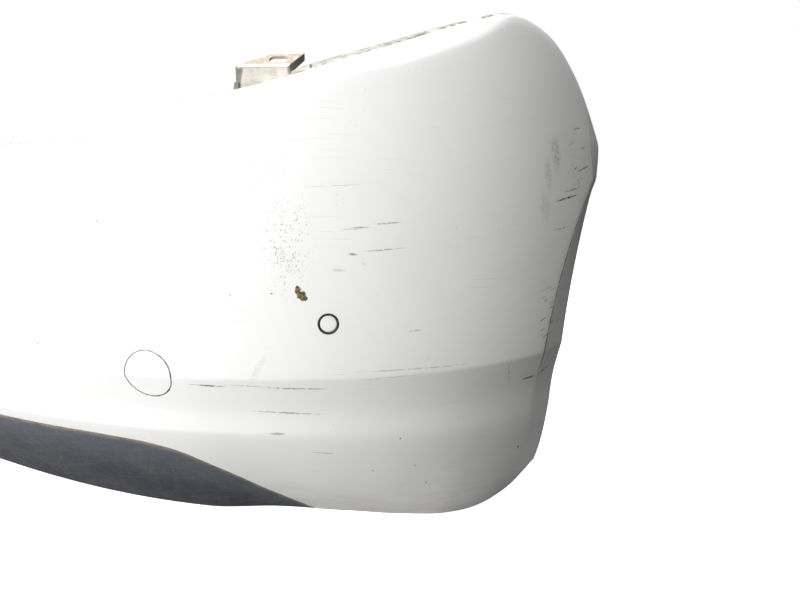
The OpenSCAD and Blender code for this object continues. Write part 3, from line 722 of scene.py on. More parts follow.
def plate(outline, t, r=1.2, bevel=0.25):
    """A plate in X and Y, from Z 0 to t, with rounded corners and bevelled rims."""
    edge = rounded(outline, r) if r else np.asarray(outline, float)
    step = np.roll(edge, -1, 0) - np.roll(edge, 1, 0)
    normal = np.stack([-step[:, 1], step[:, 0]], 1) / np.maximum(np.linalg.norm(step, axis=1), 1e-9)[:, None]
    area = np.sum(edge[:, 0] * np.roll(edge[:, 1], -1) - np.roll(edge[:, 0], -1) * edge[:, 1])
    if area < 0:
        edge, normal = edge[::-1], -normal[::-1]
    small = edge + normal * bevel
    layers = [(small, 0), (edge, bevel), (edge, t - bevel), (small, t)]
    verts = np.concatenate([np.column_stack([p, np.full(len(p), z)]) for p, z in layers])
    m = len(edge)
    faces = [(k * m + i, k * m + (i + 1) % m, (k + 1) * m + (i + 1) % m, (k + 1) * m + i)
             for k in range(3) for i in range(m)]
    faces += [tuple(range(m - 1, -1, -1)), tuple(range(3 * m, 4 * m))]
    return verts, faces


def upright(shape):
    """A plate drawn in X and Y stood up: its Y becomes Z, and its thickness runs inwards."""
    return placed(shape, seat_matrix((0, BRACKET_T, 0), (1, 0, 0), (0, 0, 1), (0, -1, 0)))


FLAT_FROM = 12.0      # mm2: the bracket's larger faces are shaded flat
TUCK = 0.3            # how far one plate of the bracket lies inside the next


def bracket_shapes():
    near, far, t = BRACKET_IN, BRACKET_OUT, BRACKET_T
    top, front, back = BRACKET_TOP, BRACKET_FRONT_Y, BRACKET_BACK_Y
    foot_in, foot_out = (BRACKET_CLEAR + x * BRACKET_SLOPE for x in (near, far))
    wall = [(near, foot_in), (far, foot_out), (far, top - 0.3), (0.2 * far, top), (0.5 * near, top - 0.4),
            (near, top - 1)]
    shapes = [placed(upright(plate(wall, t)), shift(y=front))]
    # sloping top plate, cut off towards its inner end and wider behind at its outer end
    climb = math.hypot(back - front, BRACKET_BACK_Z - top)
    tilt = math.degrees(math.atan2(BRACKET_BACK_Z - top, back - front))
    outline = [(near, 0), (far, 0), (far + BRACKET_FLARE, climb), (3, 0.93 * climb), (-14, 0.55 * climb),
               (-30, 0.14 * climb)]
    deck = shift(0, front, top - 1.8) @ turn_x(tilt) @ shift(z=-t * 0.6)
    half = (SLOT_L - SLOT_W) / 2
    ends = [(math.cos(a) * SLOT_W / 2, math.sin(a) * SLOT_W / 2)
            for a in np.linspace(-math.pi / 2, math.pi / 2, 17)]
    oval = [(x + half, y) for x, y in ends] + [(-x - half, -y) for x, y in ends]
    slot = placed(plate(oval, 40, r=0, bevel=0.01), shift(SLOT_X, BRACKET_FOOT_Y, 14))
    shapes.append(drilled(placed(plate(outline, t), deck), [slot]))
    # end walls: a short one inside, and a slanting strip behind its post outside
    inner_side = [(front + TUCK, foot_in + TUCK), (front + 12, foot_in + TUCK), (front + 6, 0.6 * top),
                  (front + 4, top - 1), (front + TUCK, top - 2)]
    shapes.append(placed(plate(inner_side, t),
                         seat_matrix((near + TUCK, 0, 0), (0, 1, 0), (0, 0, 1), (1, 0, 0))))
    flank = math.hypot(BRACKET_FLARE, back - front)
    along = np.array([BRACKET_FLARE, back - front, 0]) / flank
    inwards = np.array([-along[1], along[0], 0])
    strip = [(0, foot_out), (4, foot_out), (4.6, top - 8), (flank, BRACKET_BACK_Z - 8.5),
             (flank, BRACKET_BACK_Z - 0.4), (0, top - 0.4)]
    stand = seat_matrix(np.array([far, front, 0]) + inwards * t, along, (0, 0, 1), -inwards)
    shapes.append(placed(plate(strip, t), stand))
    # the step at the inner end's foot
    foot = [(near - 3.2, foot_in - 0.8), (near + 3, foot_in - 0.2), (near + 3, foot_in + 8.5),
            (near - 1.2, foot_in + 9.5)]
    shapes.append(placed(upright(plate(foot, t + 1.4)), shift(y=front - 1.2)))
    # feet along the flange, and two ribs on the front wall's rear
    for side, reach in ((-1, 14), (1, 10)):
        pad = plate([(-reach, -12.5), (10, -12.5), (10, 10.5), (-reach, 10.5)], t, r=2)
        foot_seat = np.linalg.inv(bracket_seat()) @ bracket_foot_seat(side)
        shapes.append(drilled(placed(pad, foot_seat), [placed(drill(BRACKET_HOLE_R, 12, 32), foot_seat)]))
    for x in (-14.0, -2.0):
        low = x * BRACKET_SLOPE
        rib = [(front + t - 0.4, low + 7), (front + 9, low + 5), (front + 5, top - 1),
               (front + t - 0.4, top - 2)]
        shapes.append(placed(plate(rib, 1.6), seat_matrix((x, 0, 0), (0, 1, 0), (0, 0, 1), (1, 0, 0))))
    return shapes


def make_bracket(side):
    shapes = [placed(s, SIDES[side] @ bracket_seat()) for s in bracket_shapes()]
    piece = new_piece(f"lamp_seat_{side}", *joined(shapes), sharp=18)
    for face in piece.data.polygons:
        face.use_smooth = face.area < FLAT_FROM * MM * MM
    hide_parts(f"lamp_bracket_{side}")
    return piece


# ---------------------------------------------------------------- materials
class Look:
    """A material's node tree, with short ways to add nodes and join them."""

    def __init__(self, name, **uniform):
        self.material = bpy.data.materials.new(name)
        self.material.use_nodes = True
        self.tree = self.material.node_tree
        self.shader = self.tree.nodes["Principled BSDF"]
        self.object = self.add("TexCoord").outputs["Object"]
        for socket, value in uniform.items():
            self.shader.inputs[socket.replace("_", " ")].default_value = value

    def add(self, kind, settings=None, **inputs):
        node = self.tree.nodes.new("ShaderNode" + kind)
        for key, value in (settings or {}).items():
            setattr(node, key, value)
        for key, value in inputs.items():
            self.join(node.inputs[key.replace("_", " ")], value)
        return node

    def join(self, socket, value):
        if isinstance(value, bpy.types.NodeSocket):
            self.tree.links.new(value, socket)
        else:
            socket.default_value = value

    def place(self):
        """What keep_places stored: lip, rise and depth, in metres."""
        stored = self.add("Attribute", {"attribute_name": "place"}).outputs["Vector"]
        return self.add("SeparateXYZ", Vector=stored).outputs

    def math(self, operation, *values):
        node = self.add("Math", {"operation": operation})
        for socket, value in zip(node.inputs, values):
            self.join(socket, value)
        return node.outputs[0]

    def times(self, *values):
        out = values[0]
        for value in values[1:]:
            out = self.math("MULTIPLY", out, value)
        return out

    def most(self, *values):
        out = values[0]
        for value in values[1:]:
            out = self.math("MAXIMUM", out, value)
        return out

    def span(self, x, low, high, a=0.0, b=1.0):
        """A smooth step from a to b as x goes from low to high."""
        if low > high:
            low, high, a, b = high, low, b, a
        node = self.add("MapRange", {"interpolation_type": "SMOOTHSTEP"}, Value=x, From_Min=low,
                        From_Max=high, To_Min=a, To_Max=b)
        return node.outputs[0]

    def stretch(self, grain, tilt=(0, 0, 0)):
        """Coordinates whose features are grain metres long, the same or different along tilted axes."""
        size = (grain,) * 3 if isinstance(grain, float) else grain
        node = self.add("Mapping", {"vector_type": "TEXTURE"}, Vector=self.object,
                        Rotation=[math.radians(t) for t in tilt], Scale=size)
        return node.outputs[0]

    def noise(self, grain, detail=2.0, rough=0.5, tilt=(0, 0, 0), shift=0.0):
        vector = self.stretch(grain, tilt)
        if shift:
            away = (shift, shift * 0.7, shift * 1.3)
            vector = self.add("Mapping", Vector=vector, Location=away).outputs[0]
        node = self.add("TexNoise", Vector=vector, Scale=1.0, Detail=detail, Roughness=rough)
        return node.outputs[0]

    def cells(self, grain, feature="F1"):
        return self.add("TexVoronoi", {"feature": feature}, Vector=self.stretch(grain), Scale=1.0)

    def specks(self, grain, size, share):
        """Small round spots, in a share of the cells."""
        node = self.cells(grain)
        pick = self.add("SeparateColor", Color=node.outputs["Color"]).outputs[0]
        return self.times(self.span(node.outputs["Distance"], size, 0.4 * size),
                          self.math("LESS_THAN", pick, share))

    def mark(self, ends, width, soft=0.55, warp=None, deep=16.0):
        """A mask for a long spot on the face, between two (angle, height) places."""
        p, q = (point(a, z) for a, z in ends)
        middle = Seat((ends[0][0] + ends[1][0]) / 2, (ends[0][1] + ends[1][1]) / 2)
        along = q - p
        length = np.linalg.norm(along)
        x = along / length
        y = np.cross(middle.n, x)
        y /= np.linalg.norm(y)
        turn = Matrix((x, y, np.cross(x, y))).transposed().to_euler()
        node = self.add("Mapping", {"vector_type": "TEXTURE"}, Vector=warp or self.object,
                        Location=(middle.origin + (p + q) / 2) / 2 * MM, Rotation=turn,
                        Scale=(length / 2 * MM, width / 2 * MM, deep * MM))
        reach = self.add("VectorMath", {"operation": "LENGTH"}, Vector=node.outputs[0])
        return self.span(reach.outputs["Value"], 1.0, 1.0 - soft)

    def spot(self, a, z, across, tall, **more):
        """A mask for a round or upright spot on the face."""
        half = across / 2 * RUN_TO_DEGREES
        return self.mark(((a - half, z), (a + half, z)), tall, **more)

    def warped(self, grain, amount):
        """Object coordinates pushed about by noise, so that marks have ragged edges."""
        noise = self.add("TexNoise", Vector=self.stretch(grain), Scale=1.0, Detail=3.0)
        middle = self.add("VectorMath", {"operation": "SUBTRACT"})
        self.join(middle.inputs[0], noise.outputs["Color"])
        middle.inputs[1].default_value = (0.5, 0.5, 0.5)
        push = self.add("VectorMath", {"operation": "MULTIPLY_ADD"})
        self.join(push.inputs[0], middle.outputs[0])
        push.inputs[1].default_value = (amount * 2,) * 3
        self.join(push.inputs[2], self.object)
        return push.outputs[0]

    def blend(self, share, a, b):
        node = self.add("Mix", {"data_type": "RGBA"})
        self.join(node.inputs[0], share)
        for socket, value in ((node.inputs[6], a), (node.inputs[7], b)):
            self.join(socket, value if isinstance(value, bpy.types.NodeSocket) else (*value, 1.0))
        return node.outputs[2]

    def bump(self, height, distance, strength=1.0, under=None):
        node = self.add("Bump", Height=height, Distance=distance, Strength=strength)
        if under is not None:
            self.join(node.inputs["Normal"], under)
        return node.outputs["Normal"]

    def finish(self, color, roughness, normal=None):
        self.join(self.shader.inputs["Base Color"], color)
        self.join(self.shader.inputs["Roughness"], roughness)
        if normal is not None:
            self.join(self.shader.inputs["Normal"], normal)
        return self.material


WHITE, GREY_SCUFF, DARK_SCUFF = (0.81, 0.81, 0.795), (0.30, 0.29, 0.28), (0.035, 0.033, 0.032)
EARTH_AND_SHADE, DRY_EARTH, GRIME = (0.10, 0.065, 0.03), (0.30, 0.22, 0.12), (0.42, 0.39, 0.33)
PLASTIC_TINT, ROAD_FILM = (0.44, 0.42, 0.37), (0.46, 0.40, 0.30)
JOINT_DIRT, CREASE_DIRT, ROAD_DIRT = (0.075, 0.068, 0.058), (0.075, 0.06, 0.045), (0.30, 0.24, 0.17)
WET_CLOD, DRY_CLOD, RUBBED = (0.045, 0.030, 0.014), (0.24, 0.17, 0.09), (0.27, 0.235, 0.20)
PALE_PLASTIC, BROWN_PLASTIC, GREY_AND_PAINTED_SHADE = (0.66, 0.63, 0.57), (0.52, 0.48, 0.41), (0.155, 0.150, 0.140)
RUST = (0.22, 0.09, 0.03)

# Long marks on the right corner: from and to (angle, height in mm), width in mm, darkness
DARK_MARKS = [
    ((56.6, 408), (58.1, 410), 1.6, 0.50), ((57.8, 412), (60.8, 414), 1.3, 0.55),
    ((55.5, 406), (58.2, 409), 1.1, 0.35), ((56.3, 380), (57.2, 378), 1.9, 0.65),
    ((57.3, 382), (60.9, 385), 1.2, 0.60), ((55.0, 362), (56.3, 361), 3.0, 0.22),
    ((57.3, 370), (57.8, 365), 2.0, 0.22), ((52.5, 453), (58.6, 457), 0.8, 0.22),
    ((60.7, 288), (62.0, 289), 1.1, 0.45), ((48.9, 226), (55.3, 223), 1.4, 0.65),
    ((43.2, 227), (47.0, 226), 1.5, 0.85), ((46.0, 229), (51.0, 226), 1.0, 0.35),
    ((47.7, 193), (55.2, 188), 1.4, 0.50), ((50.3, 191), (52.6, 190), 1.9, 0.60),
    ((52.8, 133), (55.4, 130), 1.3, 0.50), ((55.6, 244), (66.9, 241), 1.3, 0.35),
    ((56.0, 233), (63.0, 236), 1.0, 0.25), ((75.5, 430), (81.3, 439), 1.9, 1.0),
    ((77.4, 442), (81.6, 448), 1.5, 0.75), ((75.4, 394), (78.8, 397), 1.2, 0.45),
    ((80.6, 468), (85.0, 479), 1.6, 0.80), ((82.2, 500), (84.4, 505), 1.4, 0.60),
    ((80.6, 526), (83.1, 530), 1.6, 0.65), ((71.5, 203), (73.7, 204), 2.4, 0.95),
    ((73.6, 204), (76.3, 211), 1.6, 0.90), ((69.8, 239), (70.3, 196), 2.0, 0.30),
    ((50.2, 269), (48.4, 225), 6.0, 0.10), ((35.4, 417), (35.8, 410), 1.5, 0.70),
    ((27.5, 266), (28.3, 262), 1.6, 0.60),
]
# Round spots: angle, height, across, tall, darkness
DARK_SPOTS = [(50.4, 162, 24, 5, 0.45), (73.0, 96, 4, 7, 1.0), (63.4, 69, 3, 4, 0.7), (58.3, 98, 4, 3, 0.7),
              (62.0, 104, 3, 3, 0.7), (60.4, 150, 3, 4, 0.7), (51.8, 574, 5, 5, 0.95), (53.7, 590, 4, 6, 0.8),
              (50.6, 336, 3.4, 2.6, 0.9), (47.4, 334, 3, 3, 0.5)]
MUD = [(52.6, 342, 7, 6), (52.55, 338, 7, 8), (52.8, 335, 12, 11), (53.0, 331, 9, 8)]
SMUDGES = [(76.9, 492, 34, 70, 0.75), (75.4, 465, 22, 60, 0.55), (74.6, 425, 30, 60, 0.35)]


def worn_face(look):
    """The masks of the wear on the right corner: scuffs, earth, dust."""
    ragged = look.warped(0.004, 0.0011)
    broken = look.span(look.noise((0.006, 0.006, 0.0016), 3.0), 0.36, 0.52)
    scuff = 0.0
    for a, b, width, dark in DARK_MARKS:
        line = look.mark((a, b), width * 1.7, warp=ragged)
        scuff = look.most(scuff, look.times(line, dark))
    scuff = look.times(scuff, broken)
    for a, z, across, tall, dark in DARK_SPOTS:
        scuff = look.most(scuff, look.times(look.spot(a, z, across, tall, warp=ragged), dark))
    # short slanting scratches along the arch lip
    lines = look.span(look.noise((0.5, 0.020, 0.0011), 2.0, tilt=(17, 0, 0)), 0.60, 0.70)
    zone = look.most(look.spot(74.4, 285, 52, 130, soft=0.6, deep=60),
                     look.times(look.spot(76.6, 300, 30, 190, soft=0.6, deep=60), 0.7),
                     look.times(look.spot(81.0, 480, 50, 150, soft=0.7, deep=60), 0.8))
    scuff = look.most(scuff, look.times(lines, zone, 0.9))
    # a field of light scratches round the crease and the sensor
    fine = look.span(look.noise((0.055, 0.055, 0.0012), 2.0, tilt=(0, 2, 0), shift=3.1), 0.66, 0.74)
    field = look.most(look.spot(59, 236, 260, 70, soft=0.8, deep=80),
                      look.spot(57, 400, 170, 90, soft=0.8, deep=60))
    faint = look.times(fine, field)
    rubbed = 0.0
    for a, z, across, tall, dark in SMUDGES:
        rubbed = look.most(rubbed, look.times(look.spot(a, z, across, tall, soft=0.8, deep=30), dark))
    rubbed = look.times(rubbed, look.span(look.noise((0.002, 0.002, 0.004), 4.0, 0.7), 0.40, 0.62))
    # earth: one clod, and splashes above it that have run down
    clod, torn = 0.0, look.warped(0.0045, 0.0022)
    for a, z, across, tall in MUD:
        clod = look.most(clod, look.spot(a, z, across, tall, soft=0.3, warp=torn))
    splash = look.most(look.spot(51.8, 392, 76, 150, soft=0.7),
                       look.times(look.spot(50.0, 470, 100, 120, soft=0.8), 0.45))
    thick = look.most(look.mark(((50.3, 402), (52.9, 350)), 20, soft=0.8),
                      look.spot(51.5, 372, 20, 24, soft=0.8))
    drips = look.specks((0.0019, 0.0019, 0.0034), 0.42, 0.36)
    grit = look.specks((0.0012, 0.0012, 0.0018), 0.50, 0.75)
    earth = look.most(look.times(splash, drips, look.span(look.noise(0.010, 2.0), 0.34, 0.50)),
                      look.times(thick, grit, look.span(look.noise(0.006, 2.0, shift=1.0), 0.36, 0.50)))
    return scuff, faint, rubbed, clod, earth


def paint(name, marked):
    """White two-coat paint with dust, hairline scratches and, on the skin, its wear."""
    look = Look(name, Coat_Weight=0.22, Coat_Roughness=0.16, Specular_IOR_Level=0.45)
    cloud = look.noise(0.22, 3.0)
    color = look.blend(look.span(cloud, 0.3, 0.7), WHITE, [c * 0.97 for c in WHITE])
    dust = look.times(look.specks(0.006, 0.16, 0.10), look.span(look.noise(0.06, 2.0), 0.42, 0.62))
    hair = look.times(look.span(look.noise((0.09, 0.09, 0.0013), 1.0, tilt=(0, 3, 0)), 0.70, 0.76),
                      look.span(look.noise(0.12, 2.0, shift=5.0), 0.45, 0.65))
    color = look.blend(look.times(dust, 0.55), color, GRIME)
    color = look.blend(look.times(hair, 0.22), color, GREY_SCUFF)
    rough = look.span(look.noise(0.05, 4.0, 0.6), 0.3, 0.75, 0.30, 0.46)
    relief = look.noise(0.0016, 2.0)
    normal = look.bump(relief, 0.00002, 0.5)
    # dirt in the joint round the tow eye cap, heavier on its right
    seat = Seat(TOW_A, TOW_Z, TOW_H)
    local = look.add("Mapping", {"vector_type": "TEXTURE"}, Vector=look.object, Location=seat.origin * MM,
                     Rotation=Matrix((seat.x, seat.y, seat.n)).transposed().to_euler(),
                     Scale=(MM, MM, 1.0)).outputs[0]
    away = look.add("VectorMath", {"operation": "LENGTH"}, Vector=local).outputs["Value"]
    joint = look.math("ABSOLUTE", look.math("SUBTRACT", away, (CAP_R + TOW_HOLE_R) / 2))
    joint = look.times(look.span(joint, 1.3, 0.5),
                       look.span(look.noise(0.008, 3.0, shift=9.0), 0.30, 0.55, 0.4, 1.0),
                       look.span(look.add("SeparateXYZ", Vector=local).outputs[0], -25.0, 25.0, 0.45, 0.95))
    color = look.blend(joint, color, JOINT_DIRT)
    if not marked:
        return look.finish(color, rough, normal)
    lip, rise, depth = look.place()
    height = look.add("SeparateXYZ", Vector=look.object).outputs[2]
    scuff, faint, rubbed, clod, earth = worn_face(look)
    # road film near the lower edge, and dirt on the upper flange, the strip and the arch crease; the flange
    # floor under the strip also carries painted shade
    patchy = look.noise((0.06, 0.06, 0.02), 4.0, 0.65)
    film = look.times(look.span(height, 0.10, 0.0), look.span(patchy, 0.35, 0.7), 0.30)
    flange = look.times(look.span(rise, -0.0016, 0.0006), look.span(depth, 0.004, 0.010))
    stripes = look.span(look.noise((0.02, 0.02, 0.006), 4.0, 0.7, shift=2.0), 0.42, 0.62)
    strip = look.span(rise, 0.0006, 0.0016)
    foot = look.times(look.span(rise, 0.0030, 0.0012), flange)
    color = look.blend(film, color, ROAD_FILM)
    color = look.blend(look.times(flange, look.span(stripes, 0, 1, 0.25, 0.85)), color, GRIME)
    color = look.blend(look.times(strip, look.span(stripes, 0, 1, 0.25, 0.75)), color, PLASTIC_TINT)
    # earth-dark flange floor at the foot of the strip: dirt, and painted shade in the valley under the strip
    color = look.blend(look.times(foot, stripes, 0.8), color, EARTH_AND_SHADE)
    edge = look.span(look.math("ABSOLUTE", look.math("SUBTRACT", lip, LIP_W * MM)), 0.0017, 0.0006)
    worn = look.span(look.noise((0.03, 0.03, 0.012), 3.0, shift=7.0), 0.34, 0.54, 0.35, 1.0)
    edge = look.times(edge, worn, look.span(height, 0.19, 0.24), look.span(height, 0.54, 0.47))
    # the arch lip strip, within LIP_W of the arch edge, is painted a little darker
    band = look.times(look.span(lip, LIP_W * MM, LIP_W * MM - 0.001), look.span(height, 0.15, 0.3))
    color = look.blend(look.times(band, 0.35), color, GRIME)
    color = look.blend(look.times(edge, 0.95), color, CREASE_DIRT)
    color = look.blend(look.times(faint, 0.35), color, GREY_SCUFF)
    color = look.blend(look.times(rubbed, 0.8), color, RUBBED)
    color = look.blend(scuff, color, DARK_SCUFF)
    earths = look.blend(look.span(look.noise(0.003, 3.0), 0.4, 0.6), EARTH_AND_SHADE, DRY_EARTH)
    color = look.blend(look.times(earth, 0.85), color, earths)
    lumps = look.span(look.noise(0.0022, 3.0, shift=2.0), 0.42, 0.58)
    clods = look.blend(lumps, WET_CLOD, DRY_CLOD)
    color = look.blend(clod, color, clods)
    dull = look.most(scuff, look.times(rubbed, 0.7), earth, clod, look.times(flange, 0.7), strip)
    rough = look.math("MAXIMUM", rough, look.span(dull, 0, 1, 0.3, 0.85))
    return look.finish(color, rough, look.bump(clod, 0.0012, 1.0, normal))


def bare_inside():
    """The unpainted rear side of the skin, with overspray near its edges."""
    look = Look("bare_moulding")
    lip, rise, _ = look.place()
    near = look.most(look.span(rise, -0.045, -0.004), look.span(lip, 0.05, 0.004))
    mist = look.span(look.math("ADD", near, look.math("SUBTRACT", look.noise(0.02, 4.0), 0.5)), 0.3, 0.95)
    dusty = look.times(look.span(look.noise((0.08, 0.08, 0.03), 4.0, 0.6), 0.4, 0.7), 0.30)
    color = look.blend(dusty, (0.040, 0.041, 0.043), (0.20, 0.18, 0.15))
    color = look.blend(look.times(mist, 0.8), color, [c * 0.8 for c in WHITE])
    flow = look.noise((0.2, 0.2, 0.004), 2.0)
    grain = look.noise(0.0009, 2.0)
    rough = look.span(look.noise(0.01, 3.0), 0.3, 0.7, 0.45, 0.68)
    return look.finish(color, rough, look.bump(look.math("ADD", look.times(flow, 0.6), grain), 0.00008, 0.7))


def grained():
    """Dark moulded plastic with a leather-like grain, dust in it and road dirt along its joint."""
    look = Look("grained_moulding", Specular_IOR_Level=0.42)
    _, rise, _ = look.place()
    cells = look.cells(0.0016, "DISTANCE_TO_EDGE").outputs["Distance"]
    pits = look.span(cells, 0.02, 0.22)
    cloud = look.noise(0.09, 4.0, 0.6)
    color = look.blend(look.span(cloud, 0.3, 0.7), (0.030, 0.034, 0.044), (0.050, 0.056, 0.070))
    color = look.blend(look.span(rise, -0.080, -0.008, 0.0, 0.85), color, (0.080, 0.092, 0.115))
    streak = look.span(look.noise((0.16, 0.16, 0.004), 4.0, 0.65, tilt=(0, -12, 0)), 0.52, 0.72)
    powder = look.times(look.span(look.noise(0.05, 3.0, shift=4.0), 0.40, 0.66),
                        look.span(look.noise(0.0022, 3.0, 0.7), 0.48, 0.70))
    color = look.blend(look.times(streak, 0.16), color, (0.30, 0.27, 0.22))
    color = look.blend(look.times(powder, 0.42), color, (0.26, 0.23, 0.18))
    specks = look.times(look.specks(0.0050, 0.20, 0.30),
                        look.span(look.noise(0.03, 2.0, shift=6.0), 0.40, 0.58))
    color = look.blend(look.times(specks, 0.75), color, (0.46, 0.43, 0.36))
    seam = look.times(look.span(rise, -0.011, -0.001),
                      look.span(look.noise((0.02, 0.02, 0.004), 4.0, 0.7), 0.34, 0.56))
    color = look.blend(look.times(seam, 0.8), color, (0.30, 0.24, 0.16))
    dusty = look.most(look.times(powder, 0.7), specks, seam)
    rough = look.math("ADD", look.span(look.noise(0.012, 3.0), 0.3, 0.7, 0.48, 0.60), look.times(dusty, 0.25))
    normal = look.bump(pits, 0.00022, 0.9)
    return look.finish(color, rough, look.bump(dusty, 0.00012, 0.5, normal))


def moulded(name, color, tone, rough=0.5, dust=0.3):
    """Plain moulded plastic or rubber: fine grain, flow marks and a little dust."""
    look = Look(name)
    shade = look.blend(look.span(look.noise(0.02, 4.0), 0.3, 0.7), color, tone)
    film = look.times(look.span(look.noise(0.008, 4.0, 0.65, shift=3.0), 0.48, 0.72), dust)
    shade = look.blend(film, shade, GRIME)
    sheen = look.math("ADD", look.span(look.noise(0.004, 3.0), 0.3, 0.7, rough - 0.07, rough + 0.07),
                      look.times(film, 0.4))
    grain = look.math("ADD", look.noise(0.0006, 2.0), look.times(look.noise((0.01, 0.01, 0.002), 2.0), 0.4))
    return look.finish(shade, sheen, look.bump(grain, 0.00006, 0.6))


def bracket_look():
    """Natural-coloured plastic that has lain in road dirt: brown above, grey at its inner end, and painted
    shade in grey on its outer flank.
    """
    look = Look("weathered_plastic", Specular_IOR_Level=0.4)
    seat = bracket_seat()
    turn = Matrix(seat[:3, :3]).to_euler()
    local = look.add("Mapping", {"vector_type": "TEXTURE"}, Vector=look.object,
                     Location=seat[:3, 3] * MM, Rotation=turn, Scale=(1, 1, 1)).outputs[0]
    x, y, z = look.add("SeparateXYZ", Vector=local).outputs
    clouds = look.noise(0.012, 5.0, 0.65)
    color = look.blend(look.span(clouds, 0.3, 0.7), PALE_PLASTIC, BROWN_PLASTIC)
    high = look.times(look.span(y, 0.0170, 0.020), look.span(z, 0.017, 0.0200))
    dirt = look.math("ADD", look.times(high, 0.85), look.times(look.span(z, 0.010, -0.004), 0.30))
    dirt = look.times(dirt, look.span(look.noise(0.006, 5.0, 0.7, shift=2.0), 0.30, 0.60, 0.45, 1.0))
    color = look.blend(dirt, color, ROAD_DIRT)
    # grey on the post and wall at the inner end, and painted shade in grey on the outer flank strip
    slant = look.math("SUBTRACT", x, look.times(z, 0.22))
    inner = look.most(look.times(look.span(slant, -0.0265, -0.0280), look.span(z, 0.0185, 0.0165)),
                      look.times(look.span(look.math("SUBTRACT", x, look.times(y, 0.667)), 0.0161, 0.0169),
                                 look.span(y, 0.0168, 0.0180)),
                      look.span(x, -0.0296, -0.0306))
    inner = look.times(inner, look.span(clouds, 0.3, 0.7, 0.75, 0.95))
    color = look.blend(inner, color, GREY_AND_PAINTED_SHADE)
    specks = look.specks(0.0026, 0.3, 0.30)
    color = look.blend(look.times(specks, 0.35), color, EARTH_AND_SHADE)
    rough = look.span(look.noise(0.005, 3.0), 0.3, 0.7, 0.55, 0.85)
    relief = look.math("ADD", look.noise(0.002, 4.0, 0.7), look.times(look.noise(0.0006, 2.0), 0.4))
    return look.finish(color, rough, look.bump(relief, 0.0003, 0.7))


def metal(name, color, tone, rough, rust):
    """Plated steel with dull patches and specks of rust."""
    look = Look(name, Metallic=0.9)
    patch = look.span(look.noise(0.005, 4.0, 0.6), 0.35, 0.65)
    shade = look.blend(patch, color, tone)
    spots = look.times(look.span(look.noise(0.0024, 4.0, 0.7, shift=5.0), 0.56, 0.68), rust)
    shade = look.blend(spots, shade, RUST)
    sheen = look.math("ADD", look.span(patch, 0, 1, rough, rough + 0.14), look.times(spots, 0.3))
    lines = look.noise((0.0003, 0.006, 0.0003), 2.0)
    return look.finish(shade, sheen, look.bump(lines, 0.00003, 0.6))


# ---------------------------------------------------------------- room, light and camera
def dress(objects, material):
    for obj in objects:
        if obj.data.materials:
            obj.data.materials[0] = material
        else:
            obj.data.materials.append(material)


FLOOR_R, FLOOR_STEPS = 6.0, 96
BOUNCE_WEST, BOUNCE_EAST = 0.50, 0.08    # how much light the floor throws back on each side
SOFT_FROM = Vector((-0.62, -0.60, 0.50)).normalized()    # the bright side of the room
ROOM_LEVELS = {"From Min": -0.45, "From Max": 0.95, "To Min": 0.02, "To Max": 0.43}


def make_floor():
    turns = [2 * math.pi * k / FLOOR_STEPS for k in range(FLOOR_STEPS)]
    mesh = bpy.data.meshes.new("studio_floor")
    mesh.from_pydata([(FLOOR_R * math.cos(t), FLOOR_R * math.sin(t), 0) for t in turns], [],
                     [tuple(range(FLOOR_STEPS))])
    floor = linked("studio_floor", mesh)
    look = Look("pale_floor", Specular_IOR_Level=0.1, Emission_Color=(1, 1, 1, 1), Emission_Strength=0.9)
    tint = look.blend(look.span(look.noise(0.5, 3.0), 0.3, 0.7), (0.80, 0.80, 0.80), (0.78, 0.78, 0.775))
    dress([floor], look.finish(tint, look.span(look.noise(0.02, 3.0), 0.3, 0.7, 0.8, 0.9)))
    # the floor throws less light back than it shows, so that the object keeps its shading
    east = look.add("SeparateXYZ", Vector=look.object).outputs[0]
    bounce = look.blend(look.span(east, 0.35, 1.20), (BOUNCE_WEST,) * 3, (BOUNCE_EAST,) * 3)
    dim = look.add("BsdfDiffuse", Color=bounce)
    seen = look.add("LightPath").outputs["Is Camera Ray"]
    either = look.add("MixShader")
    for socket, value in zip(either.inputs, (seen, dim.outputs[0], look.shader.outputs[0])):
        look.join(socket, value)
    look.join(look.tree.nodes["Material Output"].inputs["Surface"], either.outputs[0])


def make_room():
    """A soft studio: brighter on the left and above, and plain white behind the object."""
    world = bpy.data.worlds.new("studio")
    bpy.context.scene.world = world
    world.use_nodes = True
    tree = world.node_tree
    back, out = tree.nodes["Background"], tree.nodes["World Output"]
    ray = tree.nodes.new("ShaderNodeTexCoord").outputs["Generated"]
    facing = tree.nodes.new("ShaderNodeVectorMath")
    facing.operation = "DOT_PRODUCT"
    tree.links.new(ray, facing.inputs[0])
    facing.inputs[1].default_value = SOFT_FROM
    level = tree.nodes.new("ShaderNodeMapRange")
    level.interpolation_type = "SMOOTHSTEP"
    for name, value in ROOM_LEVELS.items():
        level.inputs[name].default_value = value
    tree.links.new(facing.outputs["Value"], level.inputs["Value"])
    tree.links.new(level.outputs[0], back.inputs["Strength"])
    plain = tree.nodes.new("ShaderNodeBackground")
    seen = tree.nodes.new("ShaderNodeLightPath").outputs["Is Camera Ray"]
    either = tree.nodes.new("ShaderNodeMixShader")
    tree.links.new(seen, either.inputs[0])
    tree.links.new(back.outputs[0], either.inputs[1])
    tree.links.new(plain.outputs[0], either.inputs[2])
    plain.inputs["Color"].default_value = back.inputs["Color"].default_value = (1, 1, 1, 1)
    tree.links.new(either.outputs[0], out.inputs["Surface"])


# Lamps: name, place, aim, width in metres, watts
LAMPS = [("key", (-0.7, -3.7, 2.1), (0.4, 0.0, 0.3), 2.2, 202.0),
         ("top", (0.9, 0.1, 3.0), (0.7, 0.1, 0.4), 2.4, 104.0)]


def make_lamp(name, at, to, size, watts):
    lamp = bpy.data.lights.new(name, "AREA")
    lamp.shape, lamp.size, lamp.energy = "DISK", size, watts
    obj = linked(name, lamp)
    obj.location = at
    obj.rotation_euler = (Vector(to) - Vector(at)).to_track_quat("-Z", "Y").to_euler()


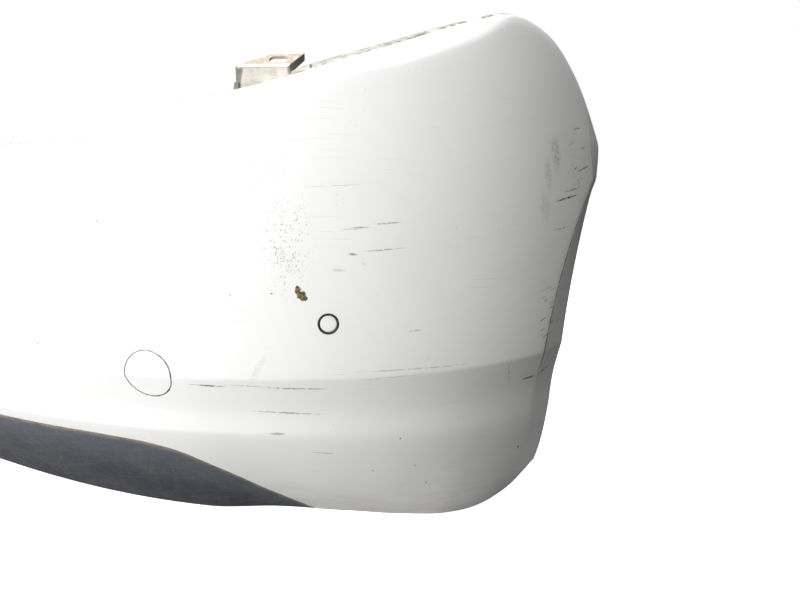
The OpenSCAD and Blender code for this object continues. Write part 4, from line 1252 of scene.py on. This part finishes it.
CAMERA_AT, CAMERA_PITCH, CAMERA_TURN = (1.040, -0.734, 0.474), 78.0, 27.0
SENSOR_MM, FOCAL_SHARE = 36.0, 620 / 800      # focal length as a share of the picture's width


def make_camera():
    cam = bpy.data.cameras.new("camera")
    cam.sensor_width, cam.lens = SENSOR_MM, FOCAL_SHARE * SENSOR_MM
    cam.clip_start = 0.02
    obj = linked("camera", cam)
    obj.location = CAMERA_AT
    obj.rotation_euler = (math.radians(CAMERA_PITCH), 0, math.radians(CAMERA_TURN))
    bpy.context.scene.camera = obj


# ---------------------------------------------------------------- the whole object
def build():
    skin, insert, cap = make_skin(), make_insert(), make_cap()
    sensors = [make_sensor(i) for i in (1, 2, 3, 4)]
    brackets = [make_bracket(side) for side in SIDES]
    white = paint("worn_white_paint", True)
    clean = paint("white_paint_on_small_parts", False)
    skin.data.materials[0], skin.data.materials[1] = white, bare_inside()
    insert.data.materials[0] = grained()
    dress([cap] + [face for face, _ in sensors], clean)
    dress([seal for _, seal in sensors],
          moulded("seal_rubber", (0.012, 0.012, 0.013), (0.020, 0.020, 0.021), 0.55, 0.15))
    dress(brackets, bracket_look())
    black = moulded("black_moulding", (0.020, 0.020, 0.022), (0.034, 0.034, 0.036), 0.48, 0.30)
    numbers = (1, 2, 3, 4)
    dark = [softened("tow_eye_guide", "tow_eye_sleeve")]
    dark += [softened(f"sensor_housing_{i}", f"sensor_body_{i}") for i in numbers]
    dark += [softened(f"sensor_holder_{i}", f"sensor_clip_{i}") for i in numbers]
    dark += [softened("rivet_shells", "push_rivet_shells", 0.2)]
    dark += [softened(f"rivet_pin_{i}", f"push_rivet_pin_{i}", 0.2) for i in numbers]
    dress(dark, black)
    dress([softened("bracket_screws", "bracket_screw_set", 0.2)],
          metal("dark_zinc", (0.24, 0.24, 0.25), (0.14, 0.14, 0.15), 0.34, 0.5))
    dress([softened("arch_clip_nuts", "arch_clip_nut_set", 0.15)],
          metal("spring_steel", (0.36, 0.35, 0.33), (0.20, 0.19, 0.18), 0.38, 0.8))


build()
make_floor()
make_room()
for lamp in LAMPS:
    make_lamp(*lamp)
make_camera()
bpy.context.scene.view_settings.view_transform = "Standard"
